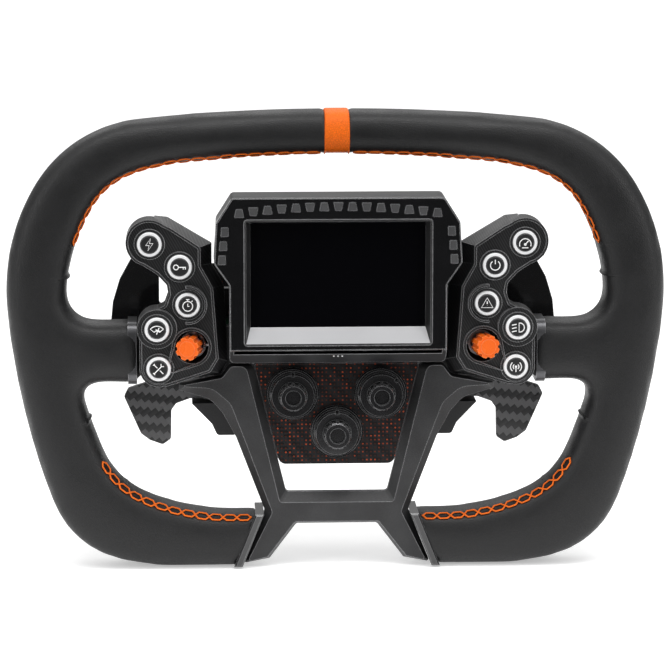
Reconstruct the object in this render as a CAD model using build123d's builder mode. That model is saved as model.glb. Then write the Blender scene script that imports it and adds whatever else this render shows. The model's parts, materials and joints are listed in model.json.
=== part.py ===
"""Racing wheel for a driving simulator: padded rim, machined frame, display, control pods and paddles.

Frame: the driver is towards -Y, +X is to the right and +Z is up. The origin is the centre of the
hub's bolt circle on the rear mounting face. Depth means the distance ahead of that face, so a sketch
on front(depth) lies at y = -depth and extrudes towards the driver. Millimetres throughout.
"""

from build123d import *
from math import atan2, cos, radians, sin, tan
import os

os.makedirs("parts", exist_ok=True)

LEFT = -1
RIGHT = 1
SIDES = {"left": LEFT, "right": RIGHT}

# ---------------------------------------------------------------- driving dimensions
# Overall rim
half_width = 165.0  # wheel axis to the outer side of the rim
rim_top = 115.0  # wheel axis up to the top of the rim
rim_bottom = -116.2  # wheel axis down to the bottom of the rim
rim_middle = 48.0  # depth of the rim's middle plane
rim_depth = 32.0  # front to back over the leather
rim_rounding = 9.0  # radius of the grip's long edges
leather = 1.4  # skin thickness
band_width = 13.0  # centre band
band_groove = 0.3  # gap on each side of the centre band
spoke_inner = 104.7  # where the leather spoke ends
spoke_top = 8.7
spoke_bottom = -21.6
spoke_blend_top = 13.0
spoke_blend_bottom = 7.0
collar_width = 4.4  # gloss collar on each grip end
collar_tall = 27.6
collar_inset = 0.5
collar_chamfer = 0.8
bracket_proud = 1.5
bracket_corner = 6.0
grip_end_top = 31.9  # wheel axis to the slanted end of the collars, 40 above the rim's bottom
grip_end_bottom = 51.2  # the same, 8 below the rim's bottom
padding_over_core = 7.6  # foam and leather between the core and the grip's outline

# Plate stack, as depths
hub_thick = 8.0
hub_radius = 46.0
bolt_circle = 70.0
bolt_count = 6
bolt_hole = 2.75
core_thick = 6.0
chassis_thick = 6.0
core_back = rim_middle - core_thick / 2
core_front = rim_middle + core_thick / 2
chassis_back = core_back - chassis_thick
frame_front = 58.0
frame_bevel = 4.2
arm_middle = -6.0  # height of the chassis arms
arm_half_height = 10.5

# Housings
housing_half_width = 50.0
housing_top = 62.0
housing_bottom = -62.0
housing_wall = 3.0
housing_floor = 4.0
housing_corner = 9.0  # radius of the upper corners
housing_cut_across = 8.0  # cut off each lower corner
housing_cut_tall = 12.0
housing_cut_radius = 4.0
housing_back = hub_thick
housing_front = core_back
cover_wall = 2.2
pod_front = 66.0
pod_face_thick = 2.5
pod_cover_thick = 2.0
display_front = 76.0
bezel_thick = 2.0
bezel_back = display_front - bezel_thick
bezel_bottom = -2.8
bezel_chamfer = 0.5
chin_low = -12.0  # the sloping chin under the bezel runs down and back to this height
chin_slope_top = -1.2

# Screen
screen_half_width = 43.5
screen_bottom = 8.4
screen_top = 60.8
surround_side = 3.0
surround_top = 2.0
surround_lip = 8.4  # tall silver lip under the screen
surround_bottom = screen_bottom - surround_lip
surround_edge = 0.8  # flat edge left round the sloping sides

# Controls
cap_radius = 4.45
ring_radius = 6.1
button_travel = 1.2
running_gap = 0.2  # between a cap and its ring
fit_gap = 0.05  # pins, shafts and bushes
loose_gap = 0.4  # between moving bodies that never touch
encoder_flange = 13.5
encoder_ring = 11.5
encoder_knob = 6.75
stick_cant = 12.0  # degrees outward
stick_radius = 5.9
paddle_thick = 3.0
hinge_across = 62.0  # wheel axis to the paddle hinge
hinge_depth = 18.0
hinge_pin = 2.0
hinge_barrel = 5.0

# Hub details
socket_radius = 9.0
socket_back = 0.5
socket_wall = 1.5
socket_deep = 6.0
socket_pins = 5
socket_pin = 0.6
socket_pin_circle = 3.5
socket_pin_tall = 4.0
hub_screw_angle = 30.0
cable_depth = 37.0
cable_height = 30.0
cable_width = 12.0

# Display lights
rev_light_count = 15
rev_light_pitch = 7.0
rev_light_height = 69.4  # middle of the centre light
rev_light_fall = 3.2  # how much lower the last light is
rev_light_half_tall = 1.8
rev_light_wide = 2.05
rev_light_narrow = 1.3
side_lights = [(56.2, 57.0), (57.0, 50.0), (57.6, 43.0)]
side_light_half_wide = 1.6
side_light_half_tall = 2.0
side_light_slant = 0.3
light_proud = 0.3

# Display insides
surround_back = 71.0
panel_thick = 3.0
panel_margin = 2.0  # of the panel behind the surround
board_thick = 1.6

# Pods
pod_corner = 2.0
pod_border = 1.2  # raised line round the face
pod_border_tall = 0.7
boss_wall = 1.5
large_boss = 9.9
large_boss_step = 0.8  # the large boss is this much lower than its ring's boss
guard_outer = 9.6
guard_inner = 8.5
guard_tall = 3.0
guard_gap_across = 7.0  # the guard is open on this side of its middle
guard_gap = 12.0
teardrop_tall = 1.4
teardrop_across = 9.5
teardrop_down = 10.5
button_board_thick = 1.2
switch_body = 6.0
switch_body_tall = 3.2
switch_tall = 4.0
switch_plunger = 1.2
switch_gap = 0.15
ring_proud = 0.6
light_chamfer = 0.4
cap_flange_tall = 0.8
cap_proud = 1.2
cap_chamfer = 0.3
cap_stem = 1.5
ring_tall = 3.0
cap_flange = 5.6
stick_well = 8.4
well_wall = 1.4
stick_pivot = 58.0
stick_shift = 0.9  # the pivot sits this much nearer the display than the well
stick_knob_back = 4.5
stick_knob_front = 15.5
trunnion = 0.8
trunnion_inner = stick_well - stick_shift + 0.9
trunnion_outer = stick_well + stick_shift + 0.9
gimbal_outer = 6.5
gimbal_inner = 4.9
yoke_radius = 4.5
yoke_reach = 5.9
yoke_pin = 0.7
spindle = 2.0
spindle_back = -3.0
spindle_front = 8.0
spindle_flange = 1.0
gimbal_half = 1.5
stick_notches = 8
stick_notch = 1.2
stick_notch_out = 0.3
stick_dish_deep = 0.5
stick_dish = 3.9
pod_cable_across = 69.5
cable_thick = 0.8

# Paddles and their mounts
paddle_corner = 2.0
pin_past = 5.5  # the pins stand this far past the barrels
pin_hole_past = 6.0
magnet_inset = 0.3
magnet_end_gap = 0.2
mount_back = 9.0
mount_front = 30.0
pocket_back = 12.0
pocket_inner = 54.0
magnet_across = 69.5
magnet_radius = 3.0

# Rotary plate and encoders
plate_bottom = -64.4
encoder_bush = 5.0
encoder_bush_end = 60.0
encoder_spindle = 3.0
encoder_spindle_end = 66.0
encoder_back = 43.0
knob_front = 69.5
ring_flange_tall = 2.2
ring_tall_part = 6.4
knob_flutes = 12
knob_flute = 0.7
knob_dish = 3.95
knob_dish_deep = 2.0
ring_chamfer = 0.9
knob_chamfer = 0.7
knob_flute_out = 0.15
knob_flute_base = 3.0
encoder_body = 14.0
end_gap = 0.4
ring_notch_base = 5.2
ring_notch_wide = 1.8
ring_notch_long = 3.2

# Boards
main_board_depth = 21.0
main_board_wide = 88.0
main_board_tall = 96.0
main_board_height = 6.0
board_chips = [(-14, -8, 12, 12), (16, -2, 8, 10), (-10, -34, 14, 5), (10, -34, 14, 5)]
chip_thick = 2.5
display_board_wide = 98.0
display_board_tall = 62.0
side_board_across = 47.2
side_board_height = 40.0
side_board_thick = 2.0
side_board_tall = 14.0
side_board_deep = 2.0
board_edge_gap = 0.5
sensor_thick = 1.2
sensor_tall = 10.0
sensor_long = 8.0
cable_slot = 44.0
cable_across = 42.5  # where the pods' cables leave the main board

# Front frame
ledge_outline = [(62, -18), (62, -31), (56.5, -37), (49.5, -51), (44.5, -62), (24, -62), (36, -18)]
bar_top = -78.6
bar_bottom = -95.0
core_tab_inner = 80.0  # wheel axis to the inner end of each spoke tab
bracket_inner = 100.3  # wheel axis to the inner end of each spoke bracket
plate_gap = 0.3  # around the rotary plate

# Fasteners
screw_radius = 2.0
screw_head = 3.5
screw_head_tall = 3.0
screw_gap = 0.1
tab_screws = [(-92, -6), (-85, -6), (85, -6), (92, -6)]
frame_screws = [(-64, -6), (64, -6), (-42, 48), (42, 48), (-42, -14), (42, -14)]
hub_screw_circle = 80.0
screw_end_gap = 0.5
cut_through = 20.0  # deep enough to pass through any wall
hub_screw_back = 0.4  # the heads are sunk this much in the mounting face
hex_socket = 1.6
hex_deep = 2.0

# Button centres on the right side, and how far each boss stands proud of the pod's face
buttons = {
    "upper": (93.4, 49.8, 1.0),
    "second": (78.5, 38.4, 1.0),
    "third": (74.6, 19.3, 1.0),
    "boss": (90.0, 7.3, 3.0),
    "lower": (89.3, -12.9, 1.0),
}
button_names = {
    LEFT: ["boost_button", "ignition_button", "timer_button", "wiper_button", "service_button"],
    RIGHT: ["pit_button", "power_button", "hazard_button", "headlight_button", "radio_button"],
}
stick_place = (72.8, -2.0)
encoders = {"left": (-22.2, -28.0), "right": (22.2, -28.0), "middle": (0.0, -47.4)}


# ---------------------------------------------------------------- shared helpers
def front(depth):
    """Sketch plane a given distance ahead of the mounting face, with x across and y up."""
    return Plane.XZ.offset(depth)


def on_side(side, points):
    """Points of the right half placed on one side of the wheel."""
    return [(side * across, height) for across, height in points]


def draw_outline(points, radii):
    """Closed outline through corner points, each corner rounded by its own radius."""
    with BuildLine() as line:
        FilletPolyline(*points, radius=radii, close=True)
    make_face(line.edges())


def draw_corners(points):
    """Closed outline with sharp corners."""
    with BuildLine() as line:
        Polyline(*points, close=True)
    make_face(line.edges())


def draw_cut(points, margin):
    """Opening through the sketch along a closed outline, wider all round by a margin."""
    with BuildSketch() as cut:
        with BuildLine() as line:
            Polyline(*points, close=True)
        make_face(line.edges())
        if margin > 0:
            offset(amount=margin, kind=Kind.INTERSECTION)
    add(cut.sketch, mode=Mode.SUBTRACT)


def save(builder, name):
    """Label a finished piece and write it."""
    builder.part.label = name
    export_step(builder.part, f"parts/{name}.step")


# ---------------------------------------------------------------- rim
def ring_line(half_points, level_height):
    """Closed line of tangent arcs through points of the right half, ending level at a height."""
    tangent = Vector(1, 0)
    with BuildLine() as line:
        for start, end in zip(half_points, half_points[1:]):
            arc = TangentArc(start, end, tangent=tangent)
            tangent = arc % 1
        across, height = half_points[-1]
        slope = atan2(-tangent.Y, -tangent.X)
        level_across = across - (height - level_height) / tan(slope / 2)
        TangentArc(half_points[-1], (level_across, level_height), tangent=tangent)
        Line((level_across, level_height), (0, level_height))
        mirror(about=Plane.YZ)
    return line.edges()


def draw_rim_ring():
    """Ring of the padded rim, between its outer and its inner line."""
    outer = [
        (0, rim_top),
        (half_width - 67, rim_top - 4.8),
        (half_width - 15, rim_top - 37),
        (half_width, 14),
        (half_width - 14, -59),
        (half_width - 22, rim_bottom + 33),
        (half_width - 53, rim_bottom + 4.1),
    ]
    inner = [
        (0, rim_top - 21.5),
        (half_width - 95, rim_top - 24.5),
        (half_width - 65, rim_top - 30.4),
        (half_width - 43, rim_top - 47.8),
        (half_width - 30.2, 5),
        (half_width - 47.7, rim_bottom + 57),
        (half_width - 68.2, rim_bottom + 36.3),
    ]
    make_face(ring_line(outer, rim_bottom))
    make_face(ring_line(inner, rim_bottom + 27), mode=Mode.SUBTRACT)


def draw_padded_rim():
    """Closed ring with one bar across it, and the bar's roots blended into the ring."""
    draw_rim_ring()
    with Locations((0, (spoke_top + spoke_bottom) / 2)):
        Rectangle(2 * half_width - 44, spoke_top - spoke_bottom)


def bar_roots(sketch, height):
    """Corners where the bar across the ring meets it, near one height."""
    return [corner for corner in sketch.vertices() if abs(corner.Y - height) < 0.5]


def gap_edge(height, margin):
    """Distance from the centre line to the slanted gap between the grip ends, at a height."""
    share = (rim_bottom + 40 - height) / 48
    return grip_end_top + margin + (grip_end_bottom - grip_end_top) * share


def draw_grip_gap(margin):
    """Gap between the two slanted grip ends, as a wedge that opens towards the bottom."""
    half = [(gap_edge(height, margin), height) for height in (rim_bottom + 40, rim_bottom - 8)]
    with BuildLine() as gap_line:
        Polyline(*half, *on_side(LEFT, reversed(half)), close=True)
    make_face(gap_line.edges())


def rim_solid(inset):
    """Padded rim as one solid, drawn in all round by an inset, cut at its spoke and grip ends."""
    with BuildPart() as rim:
        with BuildSketch(front(rim_middle - rim_depth / 2 + inset)) as outline:
            draw_padded_rim()
            fillet(bar_roots(outline, spoke_top), radius=spoke_blend_top)
            fillet(bar_roots(outline, spoke_bottom), radius=spoke_blend_bottom)
            if inset > 0:
                offset(amount=-inset)
        extrude(amount=rim_depth - 2 * inset)
        fillet(rim.faces().filter_by(Axis.Y).edges(), radius=rim_rounding - inset)
        with BuildSketch(front(0)):
            with Locations((0, (spoke_top + spoke_bottom) / 2)):
                Rectangle(2 * spoke_inner, spoke_top - spoke_bottom + 20)
            draw_grip_gap(collar_width)
        extrude(amount=rim_middle + rim_depth, mode=Mode.SUBTRACT)
    return rim.part


skin_blank = rim_solid(0)
foam_blank = rim_solid(leather)


def draw_core_ring():
    """Flat core inside the padding: ring, spoke tabs and the link across the bottom."""
    draw_padded_rim()
    offset(amount=-padding_over_core)
    with BuildSketch() as middle:
        with Locations((0, (spoke_top + spoke_bottom) / 2)):
            Rectangle(2 * core_tab_inner, spoke_top - spoke_bottom)
        draw_grip_gap(0)
    add(middle.sketch, mode=Mode.SUBTRACT)
    link_half = [
        (0, bar_top - 2), (23, bar_top - 2), (38, -91), (54, -96), (54, -108), (26, -92.5), (0, -92.5),
    ]
    with BuildLine() as link_line:
        Polyline(*link_half, *on_side(LEFT, reversed(link_half[1:-1])), close=True)
    make_face(link_line.edges())


with BuildPart() as rim_core:
    with BuildSketch(front(core_back)):
        draw_core_ring()
        with Locations(*tab_screws):
            Circle(screw_radius + screw_gap, mode=Mode.SUBTRACT)
    extrude(amount=core_thick)
save(rim_core, "rim_core")

with BuildPart() as rim_foam:
    add(foam_blank)
    with BuildSketch(front(core_back)):
        draw_core_ring()
    extrude(amount=core_thick, mode=Mode.SUBTRACT)
save(rim_foam, "rim_foam")

with BuildPart() as left_leather:
    add(skin_blank)
    add(foam_blank, mode=Mode.SUBTRACT)
    split(bisect_by=Plane.YZ.offset(-band_width / 2 - band_groove), keep=Keep.BOTTOM)
save(left_leather, "left_leather")

with BuildPart() as right_leather:
    add(skin_blank)
    add(foam_blank, mode=Mode.SUBTRACT)
    split(bisect_by=Plane.YZ.offset(band_width / 2 + band_groove), keep=Keep.TOP)
save(right_leather, "right_leather")

with BuildPart() as centre_band:
    add(skin_blank)
    add(foam_blank, mode=Mode.SUBTRACT)
    split(bisect_by=Plane.YZ.offset(-band_width / 2), keep=Keep.TOP)
    split(bisect_by=Plane.YZ.offset(band_width / 2), keep=Keep.BOTTOM)
    with BuildSketch(Plane.XY.offset(0)):
        Rectangle(3 * band_width, 4 * rim_middle)
    extrude(amount=2 * rim_bottom, mode=Mode.SUBTRACT)
save(centre_band, "centre_band")

with BuildPart() as grip_end_collars:
    with BuildSketch(front(rim_middle - rim_depth / 2 + collar_inset)):
        collar_top = rim_bottom + collar_tall
        collar_low = rim_bottom + collar_inset
        draw_corners([
            (gap_edge(collar_top, fit_gap), collar_top),
            (gap_edge(collar_top, collar_width - fit_gap), collar_top),
            (gap_edge(collar_low, collar_width - fit_gap), collar_low),
            (gap_edge(collar_low, fit_gap), collar_low),
        ])
    extrude(amount=rim_depth - 2 * collar_inset)
    chamfer(grip_end_collars.faces().filter_by(Axis.Y).edges(), length=collar_chamfer)
    mirror(about=Plane.YZ)
    with BuildSketch(front(core_back)):
        draw_core_ring()
    extrude(amount=core_thick, mode=Mode.SUBTRACT)
save(grip_end_collars, "grip_end_collars")

with BuildPart() as spoke_brackets:
    for side in SIDES.values():
        with BuildSketch(Plane.YZ.offset(side * bracket_inner)):
            with Locations((-rim_middle, (spoke_top + spoke_bottom) / 2)):
                RectangleRounded(rim_depth - 4, spoke_top - spoke_bottom + bracket_proud, bracket_corner)
        extrude(amount=side * (spoke_inner - bracket_inner))
    with BuildSketch(front(core_back)):
        draw_core_ring()
    extrude(amount=core_thick, mode=Mode.SUBTRACT)
save(spoke_brackets, "spoke_brackets")


# ---------------------------------------------------------------- hub and rear housing
with BuildPart() as hub_plate:
    with BuildSketch(front(0)):
        Circle(hub_radius)
        Circle(socket_radius + fit_gap, mode=Mode.SUBTRACT)
        with PolarLocations(bolt_circle / 2, bolt_count):
            Circle(bolt_hole, mode=Mode.SUBTRACT)
    extrude(amount=hub_thick)
    chamfer(hub_plate.faces().sort_by(Axis.Y)[-1].outer_wire().edges(), length=1)
    with Locations(front(0)):
        with PolarLocations(hub_screw_circle / 2, bolt_count, start_angle=hub_screw_angle):
            Cylinder(
                screw_radius + screw_gap, hub_thick, align=(Align.CENTER, Align.CENTER, Align.MIN),
                mode=Mode.SUBTRACT,
            )
            Cylinder(
                screw_head + screw_gap, screw_head_tall + hub_screw_back,
                align=(Align.CENTER, Align.CENTER, Align.MIN), mode=Mode.SUBTRACT,
            )
save(hub_plate, "hub_plate")

with BuildPart() as data_socket:
    with BuildSketch(front(socket_back)):
        Circle(socket_radius)
    extrude(amount=hub_thick + housing_floor + 2)
    with BuildSketch(front(socket_back)):
        Circle(socket_radius - socket_wall)
    extrude(amount=socket_deep, mode=Mode.SUBTRACT)
    with BuildSketch(front(socket_back + socket_deep)):
        with PolarLocations(socket_pin_circle, socket_pins):
            Circle(socket_pin)
    extrude(amount=-socket_pin_tall)
save(data_socket, "data_socket")


def draw_housing(inset):
    """Outline of the rear housing, drawn in by an inset."""
    across = housing_half_width - inset
    top = housing_top - inset
    bottom = housing_bottom + inset
    corners = [
        (across, top),
        (across, bottom + housing_cut_tall),
        (across - housing_cut_across, bottom),
    ]
    radii = [housing_corner - inset, housing_cut_radius, housing_cut_radius]
    draw_outline(corners + on_side(LEFT, reversed(corners)), radii + list(reversed(radii)))


with BuildPart() as rear_housing:
    with BuildSketch(front(housing_back)):
        draw_housing(0)
    extrude(amount=housing_front - housing_back)
    fillet(rear_housing.faces().sort_by(Axis.Y)[-1].edges(), radius=2)
    with BuildSketch(front(housing_back + housing_floor)):
        draw_housing(housing_wall)
    extrude(amount=housing_front, mode=Mode.SUBTRACT)
    with BuildSketch(front(housing_back)):
        Circle(socket_radius + fit_gap)
        with PolarLocations(bolt_circle / 2, bolt_count):
            Circle(bolt_hole)
        with PolarLocations(hub_screw_circle / 2, bolt_count, start_angle=hub_screw_angle):
            Circle(screw_radius + screw_gap)
    extrude(amount=housing_floor, mode=Mode.SUBTRACT)
    with BuildSketch(front(chassis_back)):
        with Locations((0, arm_middle)):
            Rectangle(3 * housing_half_width, 2 * (arm_half_height + screw_gap))
    extrude(amount=chassis_thick, mode=Mode.SUBTRACT)
    with BuildSketch(front(cable_depth - 1)):
        with Locations((0, cable_height)):
            Rectangle(3 * housing_half_width, cable_width + 2)
    extrude(amount=3, mode=Mode.SUBTRACT)
save(rear_housing, "rear_housing")

with BuildPart() as chassis_plate:
    with BuildSketch(front(chassis_back)):
        with Locations((0, arm_middle)):
            Rectangle(2 * (bracket_inner - 1), 2 * arm_half_height)
        plate_top = housing_top - housing_wall - screw_gap
        plate_low = arm_middle - arm_half_height
        with Locations((0, (plate_top + plate_low) / 2)):
            RectangleRounded(2 * (housing_half_width - housing_wall - screw_gap), plate_top - plate_low, 8)
        with Locations((0, cable_height)):
            RectangleRounded(cable_slot, cable_width + 8, 4, mode=Mode.SUBTRACT)
        with Locations(*(tab_screws + frame_screws)):
            Circle(screw_radius + screw_gap, mode=Mode.SUBTRACT)
    extrude(amount=chassis_thick)
save(chassis_plate, "chassis_plate")

with BuildPart() as machine_screws:
    with BuildSketch(front(hub_screw_back)):
        with PolarLocations(hub_screw_circle / 2, bolt_count, start_angle=hub_screw_angle):
            Circle(screw_head)
    extrude(amount=screw_head_tall)
    with BuildSketch(front(hub_screw_back)):
        with PolarLocations(hub_screw_circle / 2, bolt_count, start_angle=hub_screw_angle):
            RegularPolygon(hex_socket, 6)
    extrude(amount=hex_deep, mode=Mode.SUBTRACT)
    with BuildSketch(front(hub_screw_back + screw_head_tall)):
        with PolarLocations(hub_screw_circle / 2, bolt_count, start_angle=hub_screw_angle):
            Circle(screw_radius)
    extrude(amount=hub_thick + housing_floor - screw_head_tall - screw_end_gap)
    with BuildSketch(front(chassis_back - screw_head_tall)):
        with Locations(*(tab_screws + frame_screws)):
            Circle(screw_head)
    extrude(amount=screw_head_tall)
    with BuildSketch(front(chassis_back - screw_head_tall)):
        with Locations(*(tab_screws + frame_screws)):
            RegularPolygon(hex_socket, 6)
    extrude(amount=hex_deep, mode=Mode.SUBTRACT)
    with BuildSketch(front(chassis_back)):
        with Locations(*(tab_screws + frame_screws)):
            Circle(screw_radius)
    extrude(amount=chassis_thick + core_thick - screw_end_gap)
save(machine_screws, "machine_screws")


# ---------------------------------------------------------------- front frame and rotary plate
leg_outline = [
    (0, bar_top),
    (25.5, bar_top),
    (41.8, -13.0),
    (53.8, -13.0),
    (58.0, -18.8),
    (79.3, -22.7),
    (79.3, -26.0),
    (63.8, -30.6),
    (57.6, -37.5),
    (50.7, -50.3),
    (36.4, -88.0),
    (47.4, -115.6),
    (34.0, -113.0),
    (20.4, bar_bottom),
    (0, bar_bottom),
]
leg_radii = [0, 2, 4, 3, 4, 1, 1, 10, 10, 0, 3, 1, 1, 2, 0]
leg_face = [
    (0, bar_top - 4.9),
    (28.8, bar_top - 4.9),
    (45.6, -13.5),
    (53.2, -13.5),
    (57.6, -19.4),
    (76.5, -22.8),
    (76.5, -23.6),
    (62.5, -24.6),
    (53.4, -32.5),
    (47.2, -49.0),
    (32.6, -88.6),
    (45.2, -113.9),
    (35.2, -111.6),
    (21.2, bar_bottom + 1.6),
    (0, bar_bottom + 1.6),
]
leg_face_radii = [0, 2, 4, 3, 3, 0.3, 0.3, 10, 10, 0, 3, 1, 1, 2, 0]


def leg_inner(height):
    """Distance from the centre line to the inner side of a leg at a height."""
    (low_across, low), (high_across, high) = leg_outline[1:3]
    return low_across + (high_across - low_across) * (height - low) / (high - low)


with BuildPart() as front_frame:
    with BuildSketch(front(core_front)):
        draw_outline(leg_outline, leg_radii)
    extrude(amount=frame_front - frame_bevel - core_front)
    with BuildSketch(front(frame_front - frame_bevel)):
        draw_outline(leg_outline, leg_radii)
    with BuildSketch(front(frame_front)):
        draw_outline(leg_face, leg_face_radii)
    loft(ruled=True)
    mirror(about=Plane.YZ)
    with BuildSketch(front(core_back)):
        with Locations((0, -6)):
            Rectangle(2 * (core_tab_inner - plate_gap), 24)
        with Locations((0, 20)):
            Rectangle(2 * housing_half_width, 80)
        for side in SIDES.values():
            draw_corners(on_side(side, ledge_outline))
        with Locations((0, cable_height)):
            RectangleRounded(cable_slot, cable_width + 8, 4, mode=Mode.SUBTRACT)
        with Locations((0, -27)):
            Rectangle(64, 22, mode=Mode.SUBTRACT)
        with Locations(*frame_screws):
            Circle(screw_radius + screw_gap, mode=Mode.SUBTRACT)
    extrude(amount=core_thick)
save(front_frame, "front_frame")

with BuildPart() as rotary_plate:
    with BuildSketch(front(core_front)):
        plate = [(leg_inner(-13.0) - plate_gap, -13.0), (leg_inner(plate_bottom) - plate_gap, plate_bottom)]
        draw_outline(plate + on_side(LEFT, reversed(plate)), [1, 4, 4, 1])
        with Locations(*encoders.values()):
            Circle(encoder_bush + fit_gap, mode=Mode.SUBTRACT)
    extrude(amount=paddle_thick)
save(rotary_plate, "rotary_plate")

with BuildPart() as rotary_encoders:
    with BuildSketch(front(encoder_back)):
        with Locations(*encoders.values()):
            RectangleRounded(encoder_body, encoder_body, 1.2)
    extrude(amount=core_front - encoder_back)
    with BuildSketch(front(core_front)):
        with Locations(*encoders.values()):
            Circle(encoder_bush)
    extrude(amount=encoder_bush_end - core_front)
    with BuildSketch(front(encoder_bush_end)):
        with Locations(*encoders.values()):
            Circle(encoder_spindle)
    extrude(amount=encoder_spindle_end - encoder_bush_end)
save(rotary_encoders, "rotary_encoders")

plate_front = core_front + paddle_thick
ring_back = plate_front + loose_gap
for place, centre in encoders.items():
    notch_turn = 45.0 if place == "right" else 90.0
    with BuildPart() as ring:
        with BuildSketch(front(ring_back)):
            with Locations(centre):
                Circle(encoder_flange)
        extrude(amount=ring_flange_tall)
        chamfer(ring.faces().sort_by(Axis.Y)[0].edges(), length=ring_chamfer)
        with BuildSketch(front(ring_back + ring_flange_tall)):
            with Locations(centre):
                Circle(encoder_ring)
        extrude(amount=ring_tall_part)
        chamfer(ring.faces().sort_by(Axis.Y)[0].edges(), length=ring_chamfer)
        with BuildSketch(front(ring_back)):
            with Locations(centre):
                Circle(encoder_bush + fit_gap)
        extrude(amount=cut_through, mode=Mode.SUBTRACT)
        with BuildSketch(front(encoder_bush_end + end_gap / 2)):
            with Locations(centre):
                Circle(encoder_knob + loose_gap)
        extrude(amount=cut_through, mode=Mode.SUBTRACT)
        with BuildSketch(front(ring_back + ring_notch_base)):
            with Locations(centre):
                with PolarLocations(encoder_ring, 1, start_angle=notch_turn):
                    Rectangle(ring_notch_long, ring_notch_wide)
        extrude(amount=cut_through, mode=Mode.SUBTRACT)
    save(ring, f"{place}_rotary_ring")
    with BuildPart() as knob:
        with BuildSketch(front(encoder_bush_end + end_gap)):
            with Locations(centre):
                Circle(encoder_knob)
        extrude(amount=knob_front - encoder_bush_end - end_gap)
        chamfer(knob.faces().sort_by(Axis.Y)[0].edges(), length=knob_chamfer)
        with BuildSketch(front(encoder_bush_end + knob_flute_base)):
            with Locations(centre):
                with PolarLocations(encoder_knob + knob_flute_out, knob_flutes):
                    Circle(knob_flute)
        extrude(amount=cut_through, mode=Mode.SUBTRACT)
        with BuildSketch(front(encoder_bush_end)):
            with Locations(centre):
                Circle(encoder_spindle + fit_gap)
        extrude(amount=encoder_spindle_end - encoder_bush_end + end_gap / 2, mode=Mode.SUBTRACT)
        with BuildSketch(front(knob_front - knob_dish_deep)):
            with Locations(centre):
                Circle(knob_dish)
        extrude(amount=3, mode=Mode.SUBTRACT)
    save(knob, f"{place}_rotary_knob")


# ---------------------------------------------------------------- display
display_half = [(52.5, 73.8), (60.4, 61.4), (61.6, 41.0), (54.0, 30.2), (54.0, -10.2)]
display_radii = [2.5, 3, 2, 3, 3]


def draw_display(inset):
    """Outline of the display housing, drawn in by an inset."""
    draw_outline(display_half + on_side(LEFT, reversed(display_half)),
                 display_radii + list(reversed(display_radii)))
    if inset > 0:
        offset(amount=-inset)



def light_places():
    """Centres and outlines of the rev lights and the side lights."""
    lights = []
    half_count = (rev_light_count - 1) / 2
    for index in range(rev_light_count):
        step = index - half_count
        across = step * rev_light_pitch
        height = rev_light_height - rev_light_fall * (step / half_count) ** 2
        low = rev_light_wide if index % 2 == 0 else rev_light_narrow
        high = rev_light_narrow if index % 2 == 0 else rev_light_wide
        lights.append([
            (across - low, height - rev_light_half_tall),
            (across + low, height - rev_light_half_tall),
            (across + high, height + rev_light_half_tall),
            (across - high, height + rev_light_half_tall),
        ])
    for side in SIDES.values():
        for across, height in side_lights:
            lights.append(on_side(side, [
                (across - side_light_half_wide, height - side_light_half_tall),
                (across + side_light_half_wide, height - side_light_half_tall),
                (across + side_light_half_wide - side_light_slant, height + side_light_half_tall),
                (across - side_light_half_wide, height + side_light_half_tall),
            ]))
    return lights


with BuildPart() as display_housing:
    with BuildSketch(front(core_front)):
        draw_display(0)
    extrude(amount=bezel_back - core_front)
    with BuildSketch(front(core_front + housing_wall)):
        draw_display(cover_wall)
    extrude(amount=display_front, mode=Mode.SUBTRACT)
    with BuildSketch(front(core_front)):
        with Locations((0, cable_height)):
            Rectangle(cable_width + 4, 3)
        with Locations(*frame_screws[2:]):
            Circle(screw_radius + screw_gap)
    extrude(amount=housing_wall, mode=Mode.SUBTRACT)
    with BuildSketch(front(core_front + housing_wall)):
        with Locations((0, (bezel_bottom + chin_low) / 2)):
            Rectangle(2 * display_half[-1][0] - cover_wall, bezel_bottom - chin_low - 2 * cover_wall)
    extrude(amount=bezel_back - core_front - housing_wall)
    with BuildSketch(Plane.YZ.offset(-half_width)):
        with BuildLine() as slope:
            Polyline(
                (-display_front, chin_low),
                (-display_front, chin_slope_top),
                (-display_front + chin_slope_top - chin_low, chin_low),
                close=True,
            )
        make_face(slope.edges())
    extrude(amount=2 * half_width, mode=Mode.SUBTRACT)
save(display_housing, "display_housing")

with BuildPart() as display_bezel:
    with BuildSketch(front(bezel_back)):
        draw_display(0)
        with Locations((0, chin_low)):
            Rectangle(2 * half_width, 2 * (bezel_bottom - chin_low), mode=Mode.SUBTRACT)
        with Locations((0, (surround_bottom + screen_top + surround_top) / 2)):
            RectangleRounded(
                2 * (screen_half_width + surround_side) + 0.2,
                screen_top + surround_top - surround_bottom + 0.2, 1.6, mode=Mode.SUBTRACT,
            )
        for outline in light_places():
            draw_cut(outline, 0.1)
    extrude(amount=bezel_thick)
    chamfer(display_bezel.faces().sort_by(Axis.Y)[0].outer_wire().edges(), length=bezel_chamfer)
save(display_bezel, "display_bezel")

with BuildPart() as display_surround:
    outer_height = screen_top + surround_top - surround_bottom
    with BuildSketch(front(surround_back)):
        with Locations((0, surround_bottom + outer_height / 2)):
            RectangleRounded(2 * (screen_half_width + surround_side), outer_height, 1.5)
    extrude(amount=display_front - surround_back)
    with BuildSketch(front(surround_back)):
        with Locations((0, (screen_bottom + screen_top) / 2)):
            Rectangle(2 * screen_half_width, screen_top - screen_bottom)
    with BuildSketch(front(display_front)):
        with Locations((0, surround_bottom + outer_height / 2)):
            Rectangle(
                2 * (screen_half_width + surround_side - surround_edge),
                outer_height - 2 * surround_edge,
            )
    loft(mode=Mode.SUBTRACT)
save(display_surround, "display_surround")

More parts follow.
